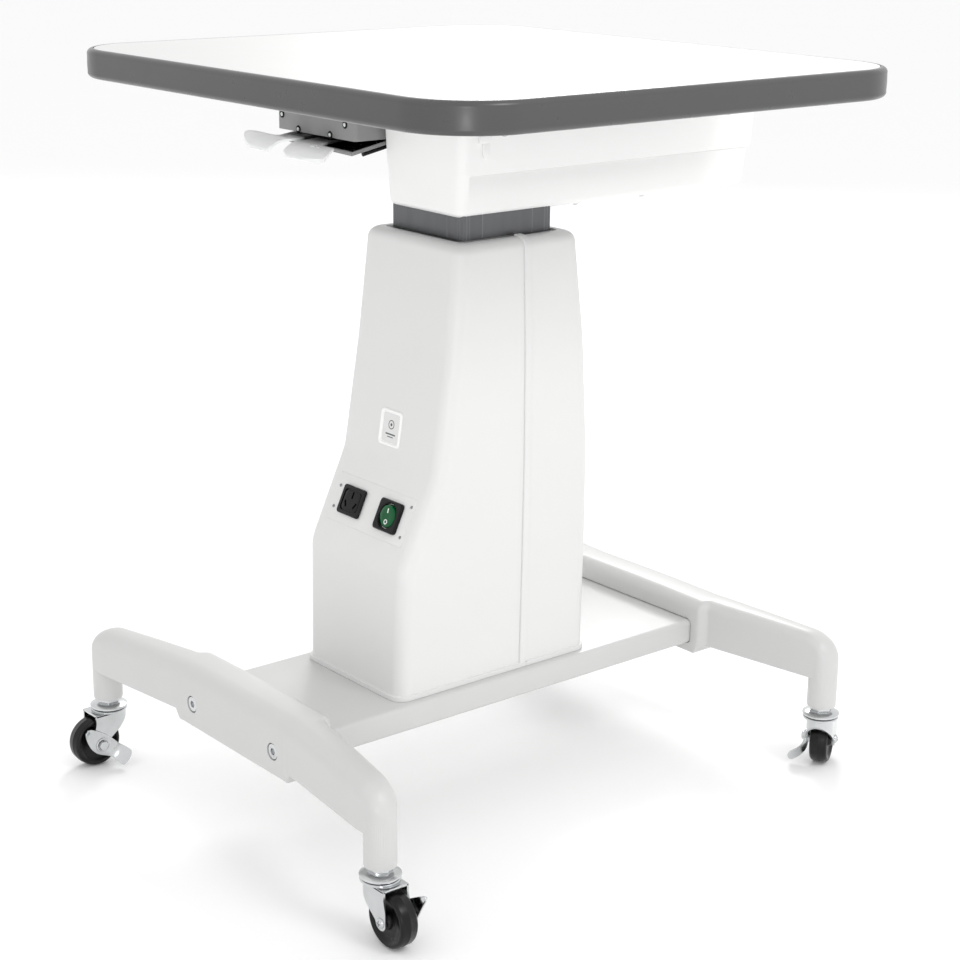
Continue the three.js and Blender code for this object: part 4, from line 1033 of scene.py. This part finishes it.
def fork():
    """The stamped fork: two cheeks and the rounded front in one bent sheet, under a flat crown."""
    columns = 97
    rows = 14
    skins = []
    for out in (FORK_OUT, FORK_OUT - 2.0):
        skin = []
        for i in range(columns):
            x, y = fork_plan(i / (columns - 1), out)
            low = fork_edge(x)
            line = []
            for k in range(rows):
                z = CROWN_HIGH - 0.4 + (low - CROWN_HIGH + 0.4) * k / (rows - 1)
                narrow = clamp((z - 34) / 14)
                pull = 2.6 * ease(narrow) * clamp((x - 12) / 12.6)
                line.append((x - pull, y, z))
            skin.append(line)
        skins.append(skin)
    sheet = tidy(loft([outer + inner[::-1] for outer, inner in zip(*skins)]))
    crown_line = [fork_plan(t, FORK_OUT) for t in np.linspace(0, 1, 61)]
    crown_line = [(min(x, 22.0), y) for x, y in crown_line]
    crown = tidy(prism(crown_line, CROWN_LOW, CROWN_HIGH), 0.5, 2)
    race = [(0, CROWN_HIGH - 0.5), (17.4, CROWN_HIGH - 0.5), (17.9, 55.4), (17.9, 56.5)]
    race += [(17.2, 57.1), (0, 57.1)]
    race = lathe(race, 64)
    return together(sheet, crown, race)


def caster_wheel(tread):
    """The wheel with a dished side, a hub boss and a fine ridge round its tread."""
    half = tread / 2
    side = [(3.3, 10.5), (6.5, 10.5), (7.2, 9.8), (8.0, 6.6), (12.5, 5.8), (17.4, 6.2), (19.0, 7.6)]
    side += [(20.4, 8.6), (21.6, half), (22.8, half - 0.2), (24.0, half - 1.4), (24.6, half - 2.8)]
    side += [(24.75, 0.8), (25.0, 0.4)]
    profile = side + [(radius, -height) for radius, height in side[::-1]]
    return placed(lathe(profile, 96, around=True), turn(90, "X"))


def stem():
    """The fixed top: a stepped race cap, a hexagon nut with rounded corners, and the neck into the post."""
    cap = [(0, 58.2), (17.4, 58.2), (18.3, 58.7), (18.5, 59.6), (18.3, 60.5), (17.3, 61.1), (15.8, 61.5)]
    cap += [(14.6, 62.2), (0, 62.3)]
    disc = lathe(cap, 64)
    nut = tidy(lathe([(0, 62), (11.2, 62), (11.2, 67.2), (0, 67.2)], 6), 0.7, 2)
    neck = lathe([(0, 67), (8.4, 67), (8.4, 67.6), (0, 67.6)], 40)
    pin = lathe([(0, 52.7), (6.5, 52.7), (6.5, 51.2), (5.6, 50.6), (0, 50.6)], 32)
    return together(disc, nut, neck, pin)


def brake_lever():
    """A stamped lever on the axle: a lip at its upper end, and a wide pedal that flares outwards."""
    # Along the lever: place along the trail, height, half width and distance out from its back.
    stations = (
        (18.5, 20.0, 1.6, 5.4),
        (17.6, 18.6, 3.0, 4.2),
        (15.2, 15.6, 5.2, 1.6),
        (10.5, 10.0, 8.0, 0.4),
        (4.0, 3.2, 10.6, 0.0),
        (-4.0, -2.8, 10.4, 0.0),
        (-11.0, -7.0, 8.2, 0.6),
        (-15.5, -10.2, 7.6, 2.8),
        (-18.6, -13.2, 8.6, 7.2),
        (-20.6, -15.4, 8.8, 11.6),
        (-21.4, -16.4, 7.4, 13.4),
        (-21.8, -16.9, 4.6, 14.2),
    )
    count = 49
    rows = np.linspace(0, len(stations) - 1, count)
    path = [[float(np.interp(r, range(len(stations)), column)) for r in rows] for column in zip(*stations)]
    path = [np.convolve(np.pad(line, 2, mode="edge"), np.ones(5) / 5, "valid") for line in path]
    across = Vector((-0.62, 0, 0.78))
    thick = 1.6
    across_steps = 11
    rings = []
    for x, z, half, out in zip(*path):
        top = []
        back = []
        for i in range(across_steps):
            s = 2 * i / (across_steps - 1) - 1
            lift = 0.9 * (1 - s * s)
            base = Vector((x, 0, z)) + across * (half * s)
            top.append((base.x, out + thick + lift, base.z))
            back.append((base.x, out + lift, base.z))
        rings.append(top + back[::-1])
    lever = tidy(loft(rings), 0.35, 2, 50)
    collar = lathe([(5.2, 1.8), (7.6, 1.8), (7.2, 3.4), (6.0, 3.8), (5.2, 3.4)], 40, True)
    return together(lever, placed(collar, turn(-90, "X")))


class TABLE_OT_casters(bpy.types.Operator):
    """The four swivel casters with their brakes"""

    bl_idname = "table.casters"
    bl_label = "Casters"

    def execute(self, context):
        for place in CORNERS:
            at = caster_matrix(place)
            hub = at @ shift(TRAIL, 0, HUB_Z)
            body = f"caster_{place}"
            top = placed(stem(), at)
            piece(f"caster_top_{place}", top, chrome(), "base", [f"caster_stem_{place}"])
            piece(f"fork_sheet_{place}", placed(fork(), at), chrome(), body, [f"fork_{place}"])
            wheel = placed(caster_wheel(sizes().wheel_tread), hub)
            piece(f"tyre_{place}", wheel, tyre(), f"wheel_{place}", [f"wheel_{place}"], 40)
            head = placed(screw_head(4.6, 2.4), hub @ shift(0, -FORK_OUT - 0.2) @ turn(90, "X"))
            shaft = lathe([(0, -14), (3, -14), (3, 17), (0, 17)], 24)
            nut = tidy(lathe([(0, 17.2), (5.0, 17.2), (5.0, 20.6), (0, 20.6)], 6), 0.5, 2)
            axle = together(head, placed(together(shaft, nut), hub @ turn(-90, "X")))
            piece(f"axle_bolt_{place}", axle, chrome(), body, [f"axle_{place}"])
            lever = placed(brake_lever(), hub @ shift(0, FORK_OUT + 0.5))
            piece(f"brake_lever_{place}", lever, chrome(), f"brake_{place}", [f"brake_{place}"])
        return {"FINISHED"}


# ---- Lever box and paddles ----

LEVER_X = (BOX_LOW.x + BOX_HIGH.x) / 2
TRAY_RIGHT_DROP = 13.4  # the tray's front corners below the box's lower edge
TRAY_LEFT_DROP = 10.4
TRAY_RISE = 1.0
TRAY_THICK = 3.6
LIP_BACK = BOX_LOW.y - 22.0
PADDLE_SLOPE = 0.12
CURL_RADIUS = 24.0
CURL_END = 62.0
SHEET = 2.4  # thickness of the paddles


def tray_bottom(x, y):
    """The twisted tray's underside at a place measured across from the box's middle."""
    low, high = TRAY_LOW, TRAY_HIGH
    share = (x + LEVER_X - low.x) / (high.x - low.x)
    front = BOX_LOW.z - TRAY_LEFT_DROP - share * (TRAY_RIGHT_DROP - TRAY_LEFT_DROP)
    return front + (y - low.y) / (high.y - low.y) * (BOX_LOW.z + TRAY_RISE - front)


def tray_sheet(inset, low, high, edge):
    """A twisted sheet between two heights above the tray's underside."""
    left, right = TRAY_LOW.x - LEVER_X + inset, TRAY_HIGH.x - LEVER_X - inset
    front, rear = TRAY_LOW.y + inset, TRAY_HIGH.y - 2 - inset
    rings = []
    for y in np.linspace(front, rear, 9):
        corners = ((left, low), (right, low), (right, high), (left, high))
        rings.append([(x, y, tray_bottom(x, y) + z) for x, z in corners])
    return placed(tidy(loft(rings), edge), shift(LEVER_X))


class TABLE_OT_lever_box(bpy.types.Operator):
    """The grey box under the top, its twisted tray, ringed screws and cable"""

    bl_idname = "table.lever_box"
    bl_label = "Lever box"

    def execute(self, context):
        low, high = BOX_LOW, BOX_HIGH
        wall = 1.8
        outer = rounded(low.x, high.x, low.y, high.y, 4.0)
        inner = rounded(low.x + wall, high.x - wall, low.y + wall, high.y - wall, 2.2)
        rings = [level(outer, high.z), level(outer, low.z + 0.4), level(outer, low.z)]
        rings += [level(inner, low.z), level(inner, high.z - wall)]
        piece("lever_cover", tidy(loft(rings)), grey_paint(), "lift", ["lever_box"])
        screws = ((-55.5, 14.3), (-28.0, 2.5), (24.5, 2.5), (48.5, 14.3))
        for i, (x, up) in enumerate(screws):
            at = shift(LEVER_X + x, low.y, low.z + up) @ turn(90, "X")
            washer = lathe([(1.9, -0.5), (3.6, -0.5), (3.6, 0.5), (3.1, 0.9), (1.9, 0.9)], 32, True)
            piece(f"box_washer_{i + 1}", placed(washer, at), dark_gap(), "lift")
            head = placed(screw_head(2.0, 1.3), at @ shift(0, 0, 0.5))
            # The screws' heads use the white ink.
            piece(f"box_screw_{i + 1}", head, marking(), "lift")
        tray = tray_sheet(0, 0, TRAY_THICK, 0.4)
        piece("tray_sheet", tray, grey_paint(), "lift", ["lever_tray"])
        # Painted shade: a thin black sheet on the tray's top stands for the shadow under the box.
        shade_sheet = tray_sheet(1.6, TRAY_THICK, TRAY_THICK + 0.2, 0)
        piece("tray_painted_shade", shade_sheet, black_plastic(), "lift")
        recoat(steel(), "paddle_pin")
        recoat(black_plastic(), "microswitch_left", "microswitch_right", "control_cable")
        return {"FINISHED"}


def lip_back_z():
    return BOX_LOW.z - 1.5 + (LIP_BACK - BOX_LOW.y) * PADDLE_SLOPE


def paddle_sheet(side):
    """One bent sheet: a sloping tongue, and a wide lip that curls down and rounds off outwards."""
    start = math.atan(PADDLE_SLOPE)
    back_z = lip_back_z()
    centre_y = LIP_BACK + CURL_RADIUS * math.sin(start)
    centre_z = back_z - CURL_RADIUS * math.cos(start)
    rear = JOINTS["paddle_right_press"]["pos_m"][1] / MM - 2.7
    rear_z = back_z + (rear - LIP_BACK) * PADDLE_SLOPE
    angles = np.linspace(start, math.radians(CURL_END), 20)
    top = [(rear, rear_z)]
    top += [(centre_y - CURL_RADIUS * math.sin(a), centre_z + CURL_RADIUS * math.cos(a)) for a in angles]
    reach = CURL_RADIUS - SHEET
    under = [(centre_y - reach * math.sin(a), centre_z + reach * math.cos(a)) for a in angles[::-1]]
    profile = top + under + [(rear, rear_z - SHEET)]
    sheet = tidy(loft([[(x, y, z) for y, z in profile] for x in (0.0, 84.0)]))
    # Plan of the lip from the tongue's inner edge round to its outer edge, across and forwards of
    # the lip's back; the two paddles differ.
    if side > 0:
        plan = [(4, 9), (0.5, 3), (-3.4, -2), (-5.4, -7), (-4.4, -11.4), (0, -15), (8, -17.4), (18, -18.3)]
        plan += [(32, -18), (48, -16.8), (60, -15.8), (66.6, -15), (67.6, -12), (66, -8), (64, -3)]
        plan += [(62, -0.4), (54, 0), (44, 0.6)]
    else:
        plan = [(4, 9), (5, 3), (9, -2), (14, -5), (17.6, -9), (20, -14), (24, -17), (34, -18.2)]
        plan += [(46, -17.8), (58, -16), (68, -13), (76, -9), (81.5, -4.6), (83.6, -0.6), (81.5, 2.4)]
        plan += [(74, 3.8), (60, 3.2), (46, 2.2)]
    plan += [(38, 2.4), (34.6, 5), (34, 9)]
    plan = [(4, rear), *((x, LIP_BACK + forward) for x, forward in plan), (34, rear)]
    cutter = tidy(loft([level(plan, BOX_LOW.z - 60), level(plan, BOX_LOW.z + 20)]))
    sheet = tidy(carved(sheet, cutter, "INTERSECT"), 0.5, 2, 50)
    if side < 0:
        sheet = placed(sheet, Matrix.Scale(-1, 4, (1, 0, 0)))
        bmesh.ops.reverse_faces(sheet, faces=sheet.faces)
    # The left paddle is bent up a little more than the right one.
    pivot = Vector(JOINTS["paddle_left_press"]["pos_m"]) / MM
    tilt = turn(-1.6 if side < 0 else 0.0, "X")
    sheet = placed(sheet, shift(0, pivot.y, pivot.z) @ tilt @ shift(0, -pivot.y, -pivot.z))
    return placed(sheet, shift(LEVER_X))


class TABLE_OT_paddles(bpy.types.Operator):
    """The two finger paddles that raise and lower the top, with plain raised marks on each"""

    bl_idname = "table.paddles"
    bl_label = "Paddles"

    def execute(self, context):
        for side, hand in HANDS:
            body = f"paddle_{hand}"
            piece(f"paddle_lip_{hand}", paddle_sheet(side), paddle_paint(), body, [body])
            pivot = Vector(JOINTS[f"paddle_{hand}_press"]["pos_m"]) / MM
            boss = placed(lathe([(2.3, -13), (4.2, -13), (4.2, 13), (2.3, 13)], 40, True), turn(90, "Y"))
            arm = prism(rounded(-13, 13, -6, 16, 1, 2), -1.2, 1.2, 0.3)
            hub = placed(together(boss, arm), Matrix.Translation(pivot))
            piece(f"paddle_hub_{hand}", hub, paddle_paint(), body)
            point = 2.6 * side
            arrow = [(3, 1.4 - point), (7.5, 1.4 - point), (5.2, 1.4 + point)][::side]
            bars = [rounded(-9, -1.5, y, y + 1.6, 0.7, 3) for y in (-0.8, 2.0)]
            marks = [prism(outline, 0, 0.7, 0.2) for outline in (*bars, arrow)]
            at = shift(LEVER_X + side * 40, LIP_BACK - 5.5, lip_back_z() - 1.0) @ turn(13, "X")
            piece(f"paddle_mark_{hand}", placed(together(*marks), at), paddle_paint(), body)
        return {"FINISHED"}


# ---- Parts inside ----


class TABLE_OT_inside(bpy.types.Operator):
    """Finishes for the drive and the guides inside the cover and the housing"""

    bl_idname = "table.inside"
    bl_label = "Inside"

    def execute(self, context):
        recoat(steel(), "mast_plate", "guide_tube", "mast_head_plate", "lead_screw")
        recoat(bushing(), "upper_guide_bush", "lower_guide_bush", "lift_nut")
        recoat(grey_paint(), "gearbox", "power_supply")
        recoat(black_plastic(), "motor")
        recoat(board(), "control_board")
        return {"FINISHED"}


# ---- Stage ----


class TABLE_OT_stage(bpy.types.Operator):
    """A pale floor, soft light all round and the camera"""

    bl_idname = "table.stage"
    bl_label = "Stage"

    def execute(self, context):
        scene = context.scene
        stage = scene.table_stage
        scene.view_settings.view_transform = "Standard"
        scene.view_settings.look = "None"
        floor = bmesh.new()
        bmesh.ops.create_grid(floor, x_segments=1, y_segments=1, size=12.0)
        mesh = bpy.data.meshes.new("floor")
        floor.to_mesh(mesh)
        floor.free()
        # Seamless white paper: matt and even.
        paper = finish_of("backdrop_paper", "#fbfbfb", 0.9, grain=3, depth=0.02, shade=0.99, patch=400)
        mesh.materials.append(paper)
        item = bpy.data.objects.new("floor", mesh)
        item.location.z = -0.0005
        scene.collection.objects.link(item)
        world = bpy.data.worlds.new("soft_light")
        scene.world = world
        world.use_nodes = True
        background = world.node_tree.nodes["Background"]
        background.inputs["Color"].default_value = (1.0, 1.0, 1.0, 1.0)
        background.inputs["Strength"].default_value = stage.daylight
        lamps = (
            ("key", (2.1, 0.3, 2.3), 0.9, 17.0),
            ("back_fill", (-1.9, 1.9, 2.1), 1.0, 34.0),
            ("corner_glint", (2.0, -1.7, 0.5), 0.35, 5.0),
        )
        for name, place, size, power in lamps:
            data = bpy.data.lights.new(name, "AREA")
            data.size = size
            data.energy = power
            lamp = bpy.data.objects.new(name, data)
            lamp.location = place
            aim = Vector((0.0, 0.0, 0.35)) - Vector(place)
            lamp.rotation_euler = aim.to_track_quat("-Z", "Y").to_euler()
            scene.collection.objects.link(lamp)
        self.camera(scene, stage)
        return {"FINISHED"}

    def camera(self, scene, stage):
        data = bpy.data.cameras.new("camera")
        data.lens = stage.lens
        data.sensor_width = 36.0
        data.clip_end = 50.0
        item = bpy.data.objects.new("camera", data)
        scene.collection.objects.link(item)
        a, e, r = stage.azimuth, stage.elevation, stage.roll
        back = Vector((math.sin(a) * math.cos(e), -math.cos(a) * math.cos(e), math.sin(e)))
        right = Vector((math.cos(a), math.sin(a), 0.0))
        up = back.cross(right)
        level_right = right * math.cos(r) + up * math.sin(r)
        level_up = up * math.cos(r) - right * math.sin(r)
        axes = Matrix((level_right, level_up, back)).transposed().to_4x4()
        item.matrix_world = Matrix.Translation(Vector(stage.place)) @ axes
        scene.camera = item


# ---- Add-on ----

STEPS = (
    TABLE_OT_stage,
    TABLE_OT_tabletop,
    TABLE_OT_housing,
    TABLE_OT_lift_tube,
    TABLE_OT_cover,
    TABLE_OT_power_panel,
    TABLE_OT_badge,
    TABLE_OT_base,
    TABLE_OT_casters,
    TABLE_OT_lever_box,
    TABLE_OT_paddles,
    TABLE_OT_inside,
)


class TABLE_PT_panel(bpy.types.Panel):
    """Lists the table's pieces, sizes and colours"""

    bl_idname = "TABLE_PT_panel"
    bl_label = "Instrument Table"
    bl_space_type = "VIEW_3D"
    bl_region_type = "UI"
    bl_category = "Instrument Table"

    def draw(self, context):
        for step in STEPS:
            self.layout.operator(step.bl_idname)
        for group in (context.scene.table_sizes, context.scene.table_colours, context.scene.table_stage):
            box = self.layout.box()
            for name in group.bl_rna.properties.keys():
                if name not in ("rna_type", "name"):
                    box.prop(group, name)


GROUPS = {"table_sizes": TableSizes, "table_colours": TableColours, "table_stage": StageSettings}


def register():
    for item in (*GROUPS.values(), *STEPS, TABLE_PT_panel):
        bpy.utils.register_class(item)
    for name, group in GROUPS.items():
        setattr(bpy.types.Scene, name, bpy.props.PointerProperty(type=group))


def unregister():
    for name in GROUPS:
        delattr(bpy.types.Scene, name)
    for item in (TABLE_PT_panel, *reversed(STEPS), *GROUPS.values()):
        bpy.utils.unregister_class(item)


def main():
    register()
    for step in STEPS:
        group, name = step.bl_idname.split(".")
        if getattr(getattr(bpy.ops, group), name)() != {"FINISHED"}:
            raise RuntimeError(f"{step.bl_label} did not finish")


if __name__ == "__main__":
    main()
